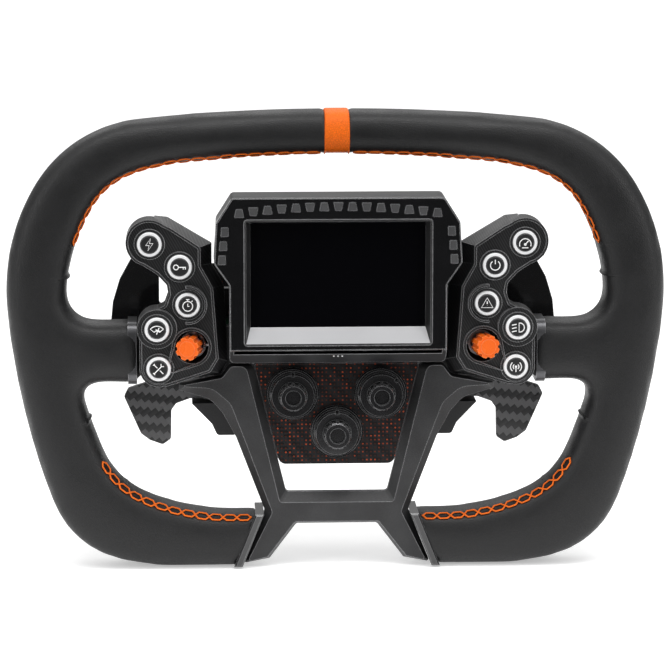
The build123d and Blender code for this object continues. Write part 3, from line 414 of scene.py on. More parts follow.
@dataclass
class Effects:
    """Builds the shared node groups and places them in materials.

    Attributes:
        made: The groups built so far.
    """

    made: dict[Effect, bpy.types.NodeTree] = field(default_factory=dict)

    def place(
        self, bench: Bench, effect: Effect, **inputs: object
    ) -> dict[str, bpy.types.NodeSocket]:
        """Places one effect's group in a material.

        Args:
            bench: The material's bench.
            effect: Which effect to place.
            **inputs: Values or sockets for the group's inputs.

        Returns:
            The group's output sockets by name.
        """
        if effect not in self.made:
            self.made[effect] = getattr(self, effect.value)()
        node = bench.add("Group", {"node_tree": self.made[effect]}, **inputs)
        return {socket.name: socket for socket in node.outputs}

    @staticmethod
    def start(
        name: str, values: dict[str, float], results: list[str]
    ) -> tuple[Bench, bpy.types.Node, bpy.types.Node]:
        """Starts a group that reads a vector and some values.

        Args:
            name: The group's name.
            values: Its value inputs and their defaults.
            results: Its outputs.

        Returns:
            The group's bench, its input node and its output node.
        """
        tree = bpy.data.node_groups.new(name, "ShaderNodeTree")
        tree.interface.new_socket("Vector", in_out="INPUT", socket_type="NodeSocketVector")
        for label, value in values.items():
            socket = tree.interface.new_socket(label, in_out="INPUT", socket_type="NodeSocketFloat")
            socket.default_value = value
        for label in results:
            tree.interface.new_socket(label, in_out="OUTPUT", socket_type="NodeSocketFloat")
        return Bench(tree), tree.nodes.new("NodeGroupInput"), tree.nodes.new("NodeGroupOutput")

    def mottle(self) -> bpy.types.NodeTree:
        """Broad soft patches, for hand marks and uneven tone.

        Returns:
            The node group.
        """
        bench, given, result = self.start("mottle", {"Size": 0.03}, ["Mask"])
        scale = bench.math("DIVIDE", 1.0, given.outputs["Size"])
        noise = bench.add("TexNoise", Vector=given.outputs["Vector"], Scale=scale, Detail=3.0)
        bench.feed(result.inputs["Mask"], bench.spread(noise.outputs[0], 0.0, 1.0, 0.3, 0.7))
        return bench.tree

    def grain(self) -> bpy.types.NodeTree:
        """Fine sand-like grain, as on moulded plastic and blasted metal.

        Returns:
            The node group.
        """
        bench, given, result = self.start("grain", {"Size": 0.0004}, ["Height", "Mask"])
        scale = bench.math("DIVIDE", 1.0, given.outputs["Size"])
        noise = bench.add(
            "TexNoise", Vector=given.outputs["Vector"], Scale=scale, Detail=2.0, Roughness=0.65
        )
        cells = bench.add("TexVoronoi", Vector=given.outputs["Vector"], Scale=scale)
        height = bench.math("ADD", noise.outputs[0], bench.math("MULTIPLY", cells.outputs[0], 0.4))
        bench.feed(result.inputs["Height"], height)
        bench.feed(result.inputs["Mask"], bench.spread(noise.outputs[0], 0.0, 1.0, 0.35, 0.65))
        return bench.tree

    def pebble(self) -> bpy.types.NodeTree:
        """Leather pebbles with creases between them, warped so that no two are alike.

        Returns:
            The node group.
        """
        bench, given, result = self.start("pebble", {"Size": 0.001}, ["Height", "Creases"])
        scale = bench.math("DIVIDE", 1.0, given.outputs["Size"])
        warp = bench.add(
            "TexNoise",
            {"noise_dimensions": "3D"},
            Vector=given.outputs["Vector"],
            Scale=bench.math("MULTIPLY", scale, 0.6),
            Detail=1.0,
        )
        offset = bench.add("VectorMath", {"operation": "SCALE"})
        bench.feed(offset.inputs[0], warp.outputs["Color"])
        bench.feed(offset.inputs["Scale"], bench.math("MULTIPLY", given.outputs["Size"], 0.9))
        moved = bench.add("VectorMath", {"operation": "ADD"})
        bench.feed(moved.inputs[0], given.outputs["Vector"])
        bench.feed(moved.inputs[1], offset.outputs[0])
        cells = bench.add("TexVoronoi", {"feature": "DISTANCE_TO_EDGE"}, Scale=scale)
        bench.feed(cells.inputs["Vector"], moved.outputs[0])
        crown = bench.spread(cells.outputs[0], 0.0, 1.0, 0.0, 0.22)
        pores = bench.add(
            "TexNoise", Vector=given.outputs["Vector"], Scale=bench.math("MULTIPLY", scale, 4.0)
        )
        height = bench.math("ADD", crown, bench.math("MULTIPLY", pores.outputs[0], 0.25))
        bench.feed(result.inputs["Height"], height)
        bench.feed(result.inputs["Creases"], bench.math("SUBTRACT", 1.0, crown))
        return bench.tree

    def twill(self) -> bpy.types.NodeTree:
        """A two by two twill of flat tows, seen from the front, with its fibres.

        Returns:
            The node group.
        """
        bench, given, result = self.start(
            "twill", {"Pitch": 0.002}, ["Warp", "Height", "Fibres", "Step"]
        )
        across, _, up = bench.axes(given.outputs["Vector"])
        column = bench.math("DIVIDE", across, given.outputs["Pitch"])
        row = bench.math("DIVIDE", up, given.outputs["Pitch"])
        cell = bench.math("ADD", bench.math("FLOOR", column), bench.math("FLOOR", row))
        turn = bench.math("FLOORED_MODULO", cell, 4.0)
        warp = bench.math("LESS_THAN", turn, 1.5)
        crowns, fibres = [], []
        for along in (column, row):
            part = bench.math("SUBTRACT", bench.math("FRACT", along), 0.5)
            crowns.append(bench.math("SUBTRACT", 0.25, bench.math("MULTIPLY", part, part)))
            fibres.append(bench.math("SINE", bench.math("MULTIPLY", along, 44.0)))
        for label, pair in (("Height", crowns), ("Fibres", fibres)):
            first = bench.math("MULTIPLY", warp, pair[0])
            second = bench.math("MULTIPLY", bench.math("SUBTRACT", 1.0, warp), pair[1])
            bench.feed(result.inputs[label], bench.math("ADD", first, second))
        bench.feed(result.inputs["Warp"], warp)
        bench.feed(result.inputs["Step"], turn)
        return bench.tree

    def cut_lines(self) -> bpy.types.NodeTree:
        """Fine parallel lines left by a cutter or a mould, straight up the vector's first axis.

        Returns:
            The node group.
        """
        bench, given, result = self.start("cut_lines", {"Pitch": 0.0005}, ["Height", "Mask"])
        across = bench.axes(given.outputs["Vector"])[0]
        turns = bench.math("DIVIDE", across, given.outputs["Pitch"])
        wave = bench.math("SINE", bench.math("MULTIPLY", turns, math.tau))
        height = bench.spread(wave, 0.0, 1.0, -1.0, 1.0)
        bench.feed(result.inputs["Height"], height)
        bench.feed(result.inputs["Mask"], bench.math("POWER", height, 3.0))
        return bench.tree

    def edge_wear(self) -> bpy.types.NodeTree:
        """A mask of the edges for a painted highlight, broken up by a fine noise.

        Returns:
            The node group.
        """
        bench, given, result = self.start("edge_wear", {"Width": 0.0005, "Gain": 9.0}, ["Mask"])
        rounded = bench.add("Bevel", {"samples": 4}, Radius=given.outputs["Width"])
        flat = bench.add("NewGeometry")
        compare = bench.add("VectorMath", {"operation": "DOT_PRODUCT"})
        bench.feed(compare.inputs[0], rounded.outputs[0])
        bench.feed(compare.inputs[1], flat.outputs["Normal"])
        turned = bench.math("SUBTRACT", 1.0, compare.outputs["Value"])
        strength = bench.math("MULTIPLY", turned, given.outputs["Gain"], clamp=True)
        noise = bench.add("TexNoise", Vector=given.outputs["Vector"], Scale=900.0, Detail=2.0)
        highlight_breakup = bench.spread(noise.outputs[0], 0.65, 1.0, 0.3, 0.6)
        bench.feed(result.inputs["Mask"], bench.math("MULTIPLY", strength, highlight_breakup))
        return bench.tree

    def dot_grid(self) -> bpy.types.NodeTree:
        """A square grid of small dots with a second mask that picks some of them at random.

        Returns:
            The node group.
        """
        bench, given, result = self.start(
            "dot_grid", {"Pitch": 0.002, "Size": 0.0005}, ["Mask", "Pick"]
        )
        parts = bench.axes(given.outputs["Vector"])
        squares, cells = [], []
        for part in (parts[0], parts[2]):
            place = bench.math("DIVIDE", part, given.outputs["Pitch"])
            offset = bench.math("SUBTRACT", bench.math("FRACT", place), 0.5)
            squares.append(bench.math("MULTIPLY", offset, offset))
            cells.append(bench.math("FLOOR", place))
        distance = bench.math("SQRT", bench.math("ADD", *squares))
        reach = bench.math("DIVIDE", given.outputs["Size"], given.outputs["Pitch"])
        mask = bench.math("LESS_THAN", distance, bench.math("MULTIPLY", reach, 0.5))
        spot = bench.add("CombineXYZ", X=cells[0], Y=cells[1])
        pick = bench.add("TexWhiteNoise", {"noise_dimensions": "3D"}, Vector=spot.outputs[0])
        bench.feed(result.inputs["Mask"], mask)
        bench.feed(result.inputs["Pick"], pick.outputs["Value"])
        return bench.tree


EFFECTS = Effects()


# Finishes


@dataclass
class Surface:
    """The sockets that a finish passes on while it is built.

    Attributes:
        bench: The material's bench.
        place: Object coordinates in metres.
        colour: The colour so far.
        rough: The roughness so far.
        height: The relief so far, in metres.
    """

    bench: Bench
    place: bpy.types.NodeSocket
    colour: bpy.types.NodeSocket
    rough: bpy.types.NodeSocket
    height: bpy.types.NodeSocket


@dataclass(frozen=True)
class Finish:
    """A grained finish with uneven tone and a painted highlight along its edges.

    Attributes:
        name: The material's name.
        colour: Its colour.
        rough: Its lowest and highest roughness.
        tone: How much lighter its light patches are, as a share.
        metallic: 1 for bare metal.
        specular: Strength of the reflection at right angles.
        coat: Weight of the clear coat.
        coat_rough: Roughness of the clear coat.
        patch: Size of the light and dark patches in metres.
        grain: Size of the grain in metres.
        relief: Height of the grain in metres.
        edge: How strongly the painted edge highlight shows, from 0 to 1.
        edge_width: Width of the painted edge highlight in metres.
        edge_highlight_colour: Colour of the painted edge highlight.
        glow: Strength of its own light.
    """

    name: str
    colour: Colour
    rough: tuple[float, float] = (0.35, 0.5)
    tone: float = 0.35
    metallic: float = 0.0
    specular: float = 0.5
    coat: float = 0.0
    coat_rough: float = 0.08
    patch: float = 0.018
    grain: float = 0.0004
    relief: float = 0.00001
    edge: float = 0.0
    edge_width: float = 0.0004
    edge_highlight_colour: Colour = (0.45, 0.45, 0.46)
    glow: float = 0.0

    def pattern(self, surface: Surface) -> None:
        """Adds what is special to a finish. The plain one adds nothing."""

    def make(self) -> bpy.types.Material:
        """Builds the material, or returns it if it is there already.

        Returns:
            The material.
        """
        label = f"finish_{self.name}"
        if label in bpy.data.materials:
            return bpy.data.materials[label]
        material = bpy.data.materials.new(label)
        material.use_nodes = True
        bench = Bench(material.node_tree)
        shader = material.node_tree.nodes["Principled BSDF"]
        place = bench.add("TexCoord").outputs["Object"]
        patches = EFFECTS.place(bench, Effect.MOTTLE, Vector=place, Size=self.patch)
        grains = EFFECTS.place(bench, Effect.GRAIN, Vector=place, Size=self.grain)
        light = tuple(min(1.0, part * (1 + self.tone)) for part in self.colour)
        dark = tuple(part * (1 - 0.5 * self.tone) for part in self.colour)
        mask = bench.math(
            "MULTIPLY", bench.math("ADD", patches["Mask"], grains["Mask"]), 0.5
        )
        surface = Surface(
            bench,
            place,
            bench.tint(mask, dark, light),
            bench.spread(patches["Mask"], self.rough[0], self.rough[1]),
            bench.math("MULTIPLY", grains["Height"], self.relief),
        )
        self.pattern(surface)
        # Painted highlight along the edges, as if they caught the light, broken up by a fine noise.
        if self.edge:
            edge_highlights = EFFECTS.place(bench, Effect.EDGE_WEAR, Vector=place, Width=self.edge_width)
            dimmed_highlight = bench.math("MULTIPLY", edge_highlights["Mask"], self.edge)
            surface.colour = bench.tint(dimmed_highlight, surface.colour, self.edge_highlight_colour)
        bump = bench.add("Bump", Strength=1.0, Distance=1.0, Height=surface.height)
        bench.feed(shader.inputs["Base Color"], surface.colour)
        bench.feed(shader.inputs["Roughness"], surface.rough)
        bench.feed(shader.inputs["Normal"], bump.outputs[0])
        shader.inputs["Metallic"].default_value = self.metallic
        shader.inputs["Specular IOR Level"].default_value = self.specular
        shader.inputs["Coat Weight"].default_value = self.coat
        shader.inputs["Coat Roughness"].default_value = self.coat_rough
        if self.glow:
            bench.feed(shader.inputs["Emission Color"], surface.colour)
            shader.inputs["Emission Strength"].default_value = self.glow
        return material


@dataclass(frozen=True)
class LeatherFinish(Finish):
    """Smooth wrapped leather with small pebbles, painted shade in the creases and pull marks beside
    the seam.

    Attributes:
        pebbles: Size of the pebbles in metres.
        pebble_height: Their height in metres.
        pull_height: Height of the pull marks in metres.
        pull_rate: Pull marks for each metre of seam.
        crease_shade_strength: How strongly the painted shade darkens the creases.
        crease_shade_level: Colour of the painted shade in the creases, as a share of the leather's.
        crease_rough: How much rougher the creases are.
    """

    pebbles: float = 0.0011
    pebble_height: float = 0.00005
    pull_height: float = 0.00035
    pull_rate: float = 160.0
    crease_shade_strength: float = 0.45
    crease_shade_level: float = 0.4
    crease_rough: float = 0.12

    def pattern(self, surface: Surface) -> None:
        """Adds the pebbles, painted shade in the creases and the pull marks.

        Args:
            surface: What the finish has made so far; changed here.
        """
        bench = surface.bench
        pebble = EFFECTS.place(bench, Effect.PEBBLE, Vector=surface.place, Size=self.pebbles)
        # Painted shade: the creases between the pebbles are darkened.
        shaded_creases = bench.math("MULTIPLY", pebble["Creases"], self.crease_shade_strength)
        dark = tuple(part * self.crease_shade_level for part in self.colour)
        surface.colour = bench.tint(shaded_creases, surface.colour, dark)
        rougher = bench.math("MULTIPLY", pebble["Creases"], self.crease_rough)
        surface.rough = bench.math("ADD", surface.rough, rougher)
        raised = bench.math("MULTIPLY", pebble["Height"], self.pebble_height)
        along = bench.add("Attribute", {"attribute_name": "along"}).outputs["Fac"]
        near = bench.add("Attribute", {"attribute_name": "near"}).outputs["Fac"]
        pulls = bench.add("TexNoise", {"noise_dimensions": "1D"}, W=along, Detail=2.0)
        pulls.inputs["Scale"].default_value = self.pull_rate
        beside = bench.math("MULTIPLY", pulls.outputs[0], near)
        pull = bench.math("MULTIPLY", beside, self.pull_height)
        surface.height = bench.math("ADD", surface.height, bench.math("ADD", raised, pull))


@dataclass(frozen=True)
class LinedFinish(Finish):
    """Satin plastic or metal with fine parallel lines.

    Attributes:
        pitch: Distance between the lines in metres.
        line_height: Depth of the lines in metres.
        angle: Turn of the lines about the depth axis, in degrees.
        line_colour: Colour of the raised lines.
        line_share: How strongly the lines show.
    """

    pitch: float = 0.0009
    line_height: float = 0.00003
    angle: float = 0.0
    line_colour: Colour = (0.09, 0.09, 0.095)
    line_share: float = 0.5

    def pattern(self, surface: Surface) -> None:
        """Adds the lines to the colour and the relief.

        Args:
            surface: What the finish has made so far; changed here.
        """
        bench = surface.bench
        turned = bench.add(
            "Mapping", Vector=surface.place, Rotation=(0.0, math.radians(self.angle), 0.0)
        )
        lines = EFFECTS.place(
            bench, Effect.CUT_LINES, Vector=turned.outputs[0], Pitch=self.pitch
        )
        shown = bench.math("MULTIPLY", lines["Mask"], self.line_share)
        surface.colour = bench.tint(shown, surface.colour, self.line_colour)
        lined = bench.math("MULTIPLY", lines["Height"], self.line_height)
        surface.height = bench.math("ADD", surface.height, lined)


@dataclass(frozen=True)
class CarbonFinish(Finish):
    """Woven carbon under a thin lacquer.

    Attributes:
        pitch: Width of a tow in metres.
        turn: Turn of the weave about the depth axis, in degrees.
        bright: Colour of the painted sheen on the tows that catch the light.
        starts: Distance out from the piece's own origin at which the weave starts.
        dots: Whether small coloured dots lie in the weave.
        dot_pitch: Distance between the dots in metres.
        dot_size: Their diameter in metres.
        dot_dim: Colour of the dimmest dots.
        dot_bright: Colour of the brightest dots.
        fibre: Brightness of the painted sheen between the fibres as a share of the tow's.
        tow_height: Height of a tow's crown in metres.
    """

    pitch: float = 0.0022
    turn: float = 0.0
    bright: Colour = (0.13, 0.13, 0.135)
    starts: float = 0.0
    dots: bool = False
    dot_pitch: float = 0.00205
    dot_size: float = 0.00085
    dot_dim: Colour = (0.03, 0.008, 0.004)
    dot_bright: Colour = (0.45, 0.065, 0.015)
    fibre: float = 0.6
    tow_height: float = 0.00012

    def pattern(self, surface: Surface) -> None:
        """Adds the weave with a painted sheen on the tows that catch the light, the fibres and any
        dots.

        Args:
            surface: What the finish has made so far; changed here.
        """
        bench = surface.bench
        turned = bench.add(
            "Mapping", Vector=surface.place, Rotation=(0.0, math.radians(self.turn), 0.0)
        )
        weave = EFFECTS.place(bench, Effect.TWILL, Vector=turned.outputs[0], Pitch=self.pitch)
        across = bench.math("ABSOLUTE", bench.axes(surface.place)[0])
        woven = bench.math("GREATER_THAN", across, self.starts)
        # Painted sheen: the warp tows and their fibres are made lighter, as if they caught the light.
        fibres = bench.spread(weave["Fibres"], self.fibre, 1.0, -1.0, 1.0)
        shine = bench.math("MULTIPLY", weave["Warp"], fibres)
        bright = bench.tint(shine, surface.colour, self.bright)
        surface.colour = bench.tint(woven, surface.colour, bright)
        if self.dots:
            grid = EFFECTS.place(
                bench, Effect.DOT_GRID, Vector=surface.place, Pitch=self.dot_pitch,
                Size=self.dot_size,
            )
            chosen = bench.math("POWER", grid["Pick"], 3.0)
            warm = bench.tint(chosen, self.dot_dim, self.dot_bright)
            surface.colour = bench.tint(grid["Mask"], surface.colour, warm)
        relief = bench.math("MULTIPLY", weave["Height"], self.tow_height)
        surface.height = bench.math("ADD", surface.height, bench.math("MULTIPLY", relief, woven))


@dataclass(frozen=True)
class BevelFinish(Finish):
    """Dark satin metal with a finely brushed painted highlight on the faces that look upwards.

    Attributes:
        painted_top_highlight: Colour of the painted highlight on the faces that look upwards.
        brush: Distance between the brush lines in metres.
        brush_height: Depth of the brush lines in metres.
        brush_dark: Colour between the brush lines as a share of the painted highlight's colour.
        turned_up: How far a face looks up before its painted highlight starts, and where the
            highlight is full.
    """

    painted_top_highlight: Colour = (0.3, 0.3, 0.3)
    brush: float = 0.0004
    brush_height: float = 0.000003
    brush_dark: float = 0.8
    turned_up: tuple[float, float] = (0.25, 0.45)

    def pattern(self, surface: Surface) -> None:
        """Adds the painted highlight on the faces that look upwards, with its brush lines.

        Args:
            surface: What the finish has made so far; changed here.
        """
        bench = surface.bench
        # Painted highlight: faces that look upwards are made bright, as if lit from above.
        facing = bench.axes(bench.add("TexCoord").outputs["Normal"])[2]
        bright = bench.spread(facing, 0.0, 1.0, *self.turned_up)
        turned = bench.add(
            "Mapping", Vector=surface.place, Rotation=(0.0, math.radians(90.0), 0.0)
        )
        lines = EFFECTS.place(
            bench, Effect.CUT_LINES, Vector=turned.outputs[0], Pitch=self.brush
        )
        dimmed_highlight = tuple(part * self.brush_dark for part in self.painted_top_highlight)
        brushed_highlight = bench.tint(lines["Height"], dimmed_highlight, self.painted_top_highlight)
        surface.colour = bench.tint(bright, surface.colour, brushed_highlight)
        brushed = bench.math("MULTIPLY", lines["Height"], self.brush_height)
        surface.height = bench.math("ADD", surface.height, brushed)


@dataclass(frozen=True)
class ThreadFinish(Finish):
    """Twisted sewing thread with painted shade between its turns.

    Attributes:
        twist: Distance between the turns of the twist in metres.
        twist_turn: Slant of the turns about the three axes, in radians.
        twist_height: Height of the turns in metres.
        twist_shade_share: How strongly the painted shade darkens the gaps between the turns.
        gap_shade_colour: Colour of the painted shade between the turns.
    """

    twist: float = 0.0008
    twist_turn: tuple[float, float, float] = (0.5, 0.7, 0.4)
    twist_height: float = 0.00012
    twist_shade_share: float = 0.45
    gap_shade_colour: Colour = (0.45, 0.06, 0.004)

    def pattern(self, surface: Surface) -> None:
        """Adds the slanting turns of the twist and the painted shade between them.

        Args:
            surface: What the finish has made so far; changed here.
        """
        bench = surface.bench
        turned = bench.add("Mapping", Vector=surface.place, Rotation=self.twist_turn)
        lines = EFFECTS.place(
            bench, Effect.CUT_LINES, Vector=turned.outputs[0], Pitch=self.twist
        )
        # Painted shade in the gaps between the turns.
        gaps = bench.math("SUBTRACT", 1.0, lines["Height"])
        shade_in_gaps = bench.math("MULTIPLY", gaps, self.twist_shade_share)
        surface.colour = bench.tint(shade_in_gaps, surface.colour, self.gap_shade_colour)
        turns = bench.math("MULTIPLY", lines["Height"], self.twist_height)
        surface.height = bench.math("ADD", surface.height, turns)


@dataclass(frozen=True)
class ScreenFinish(Finish):
    """A switched-off screen: black glass over a faint cell grid.

    Attributes:
        pitch: Distance between the cells in metres.
        cell_share: Size of a cell as a share of the pitch.
        cell_shows: How strongly the cells show.
        cell_colour: Colour of the cells.
    """

    pitch: float = 0.0004
    cell_share: float = 0.9
    cell_shows: float = 0.35
    cell_colour: Colour = (0.006, 0.006, 0.008)

    def pattern(self, surface: Surface) -> None:
        """Adds the cell grid.

        Args:
            surface: What the finish has made so far; changed here.
        """
        bench = surface.bench
        grid = EFFECTS.place(
            bench, Effect.DOT_GRID, Vector=surface.place, Pitch=self.pitch,
            Size=self.pitch * self.cell_share,
        )
        shown = bench.math("MULTIPLY", grid["Mask"], self.cell_shows)
        surface.colour = bench.tint(shown, surface.colour, self.cell_colour)


BLACK_LEATHER = LeatherFinish(
    "black_leather", (0.0085, 0.0085, 0.009), rough=(0.34, 0.46), tone=0.3, specular=0.42,
    grain=0.0003, relief=0.000008,
)
ORANGE_LEATHER = LeatherFinish(
    "orange_leather", (1.0, 0.165, 0.008), rough=(0.42, 0.55), tone=0.10, specular=0.2,
    pebbles=0.0009, pebble_height=0.00004, pull_height=0.0,
)
ORANGE_THREAD = ThreadFinish(
    "orange_thread", (0.98, 0.17, 0.008), rough=(0.5, 0.65), tone=0.2, specular=0.3,
    grain=0.0002,
)
BARE_ALUMINIUM = LinedFinish(
    "bare_aluminium", (0.62, 0.62, 0.63), rough=(0.28, 0.42), metallic=1.0, tone=0.15,
    line_colour=(0.75, 0.75, 0.76), pitch=0.0006, line_height=0.000008, line_share=0.3,
)
GLOSS_COLLAR = Finish(
    "gloss_collar", (0.012, 0.012, 0.013), rough=(0.10, 0.18), coat=0.8, tone=0.3,
    relief=0.000002, edge=0.5, edge_width=0.0004,
)
FRAME_METAL = Finish(
    "frame_metal", (0.030, 0.030, 0.031), rough=(0.36, 0.46), metallic=0.35, tone=0.7,
    grain=0.00045, relief=0.00005, edge=0.9, edge_width=0.0006, edge_highlight_colour=(0.42, 0.42, 0.43),
)
BRACKET_METAL = Finish(
    "bracket_metal", (0.10, 0.10, 0.105), rough=(0.25, 0.38), metallic=0.8, tone=0.3,
    grain=0.0003, relief=0.00001, edge=0.7, edge_width=0.0005,
)
BLACK_ANODISED = Finish(
    "black_anodised", (0.014, 0.014, 0.015), rough=(0.16, 0.26), metallic=0.5, coat=0.5,
    tone=0.3, grain=0.0003, relief=0.000004, edge=0.8, edge_width=0.0004,
)
POD_SATIN = LinedFinish(
    "pod_satin", (0.0085, 0.0085, 0.009), rough=(0.32, 0.44), tone=0.4, grain=0.0003,
    relief=0.000012, edge=0.85, edge_width=0.00045, pitch=0.0012, angle=30.0, specular=0.35,
    line_height=0.00004, line_colour=(0.045, 0.045, 0.047), line_share=0.6,
)
HOUSING_PLASTIC = Finish(
    "housing_plastic", (0.017, 0.017, 0.018), rough=(0.45, 0.58), tone=0.4, grain=0.0007,
    relief=0.00005, edge=0.35, edge_width=0.0005, edge_highlight_colour=(0.16, 0.16, 0.165),
)
CARBON = CarbonFinish(
    "carbon", (0.010, 0.010, 0.011), rough=(0.25, 0.35), tone=0.3, coat=0.3, starts=0.0195,
    turn=38.0, pitch=0.0027, bright=(0.17, 0.17, 0.175), relief=0.000004, edge=0.6, edge_width=0.0005,
)
CARBON_DOTTED = CarbonFinish(
    "carbon_dotted", (0.005, 0.005, 0.0055), rough=(0.25, 0.35), tone=0.3, specular=0.2,
    dots=True, pitch=0.00205, bright=(0.013, 0.013, 0.014), relief=0.000004, edge=0.5,
)
PADDLE_GLOSS = Finish(
    "paddle_gloss", (0.010, 0.010, 0.011), rough=(0.12, 0.2), coat=0.7, tone=0.3,
    relief=0.000003, edge=0.9, edge_width=0.0007,
)
GLOSS_BEZEL = Finish(
    "gloss_bezel", (0.005, 0.005, 0.0055), rough=(0.07, 0.14), coat=0.3, tone=0.4, specular=0.3,
    relief=0.0000015, edge=1.0, edge_width=0.0007, edge_highlight_colour=(0.42, 0.42, 0.43),
)
DISPLAY_SHELL = Finish(
    "display_shell", (0.008, 0.008, 0.009), rough=(0.28, 0.4), tone=0.4, relief=0.00001,
    edge=0.9, edge_width=0.0006, specular=0.4,
)
# The surround's bright upward faces are a painted highlight.
SURROUND_SILVER = BevelFinish(
    "surround_silver", (0.020, 0.020, 0.021), rough=(0.34, 0.46), metallic=0.4, tone=0.15,
    grain=0.00025, relief=0.000015, edge=0.5, edge_width=0.0003, edge_highlight_colour=(0.8, 0.8, 0.8),
    painted_top_highlight=(0.40, 0.40, 0.41),
)
SCREEN = ScreenFinish(
    "screen", (0.0006, 0.0006, 0.0008), rough=(0.06, 0.10), tone=0.3, specular=0.05, relief=0.0,
)
LIGHT_GUIDES = Finish(
    "light_guides", (0.055, 0.055, 0.057), rough=(0.35, 0.45), tone=0.3, grain=0.0003,
    relief=0.00001,
)
LIGHT_RING = Finish(
    "light_ring", (0.86, 0.86, 0.87), rough=(0.28, 0.4), tone=0.10, grain=0.0003,
    relief=0.000006, coat=0.3,
)
BUTTON_BLACK = Finish(
    "button_black", (0.008, 0.008, 0.009), rough=(0.38, 0.5), tone=0.4, grain=0.00025,
    relief=0.000015, edge=0.4, edge_width=0.0003,
)
ICON_WHITE = Finish(
    "icon_white", (0.88, 0.88, 0.88), rough=(0.35, 0.5), tone=0.1, grain=0.0002, relief=0.000004,
)
STICK_ORANGE = Finish(
    "stick_orange", (1.0, 0.14, 0.012), rough=(0.22, 0.34), tone=0.25, grain=0.0003,
    relief=0.00001, edge=0.5, edge_width=0.0005, edge_highlight_colour=(1.0, 0.50, 0.22), coat=0.3,
)
STEEL = LinedFinish(
    "steel", (0.42, 0.42, 0.43), rough=(0.22, 0.36), metallic=1.0, tone=0.2, pitch=0.0004,
    line_height=0.000004, line_colour=(0.55, 0.55, 0.56), line_share=0.3, edge=0.4,
)
CIRCUIT_BOARD = LinedFinish(
    "circuit_board", (0.006, 0.040, 0.020), rough=(0.3, 0.45), tone=0.5, coat=0.3,
    pitch=0.0016, line_height=0.00003, line_colour=(0.05, 0.14, 0.06), line_share=0.5,
)
CABLE = LinedFinish(
    "cable", (0.03, 0.03, 0.032), rough=(0.4, 0.55), tone=0.3, pitch=0.00127,
    line_height=0.0002, line_colour=(0.08, 0.08, 0.085), line_share=0.6,
)
MAGNET = Finish(
    "magnet", (0.55, 0.55, 0.56), rough=(0.15, 0.28), metallic=1.0, tone=0.15, edge=0.4,
)

FLOOR_PAPER = Finish(
    "floor_paper", (0.90, 0.90, 0.90), rough=(0.9, 0.95), tone=0.01, relief=0.0, specular=0.1,
    glow=0.45,
)

NODE_FINISHES: dict[Finish, tuple[str, ...]] = {
    BARE_ALUMINIUM: ("rim_core",),
    GLOSS_COLLAR: ("grip_end_collars",),
    BRACKET_METAL: ("spoke_brackets",),
    FRAME_METAL: ("front_frame",),
    BLACK_ANODISED: (
        "hub_plate", "rotary_encoders", "chassis_plate",
        "left_rotary_ring", "left_rotary_knob", "right_rotary_ring", "right_rotary_knob",
        "middle_rotary_ring", "middle_rotary_knob",
    ),
    POD_SATIN: ("left_pod_shell", "right_pod_shell"),
    HOUSING_PLASTIC: (
        "rear_housing", "pod_covers", "left_paddle_mount", "right_paddle_mount",
        "data_socket",
    ),
    CARBON: ("left_clutch_paddle", "right_clutch_paddle"),
    CARBON_DOTTED: ("rotary_plate",),
    PADDLE_GLOSS: ("left_shift_paddle", "right_shift_paddle"),
    GLOSS_BEZEL: ("display_bezel",),
    DISPLAY_SHELL: ("display_housing",),
    SURROUND_SILVER: ("display_surround",),
    SCREEN: ("lcd_panel",),
    LIGHT_GUIDES: ("led_light_guides",),
    LIGHT_RING: ("button_light_rings",),
    BUTTON_BLACK: ("button_switches",),
    STICK_ORANGE: ("left_stick_knob", "right_stick_knob"),
    STEEL: (
        "machine_screws", "paddle_pins", "left_stick_gimbal", "left_stick_yoke",
        "left_stick_spindle", "right_stick_gimbal", "right_stick_yoke", "right_stick_spindle",
    ),
    CIRCUIT_BOARD: ("small_boards", "main_board"),
    CABLE: ("ribbon_cables",),
    MAGNET: ("paddle_magnets",),
}


# The padded grip


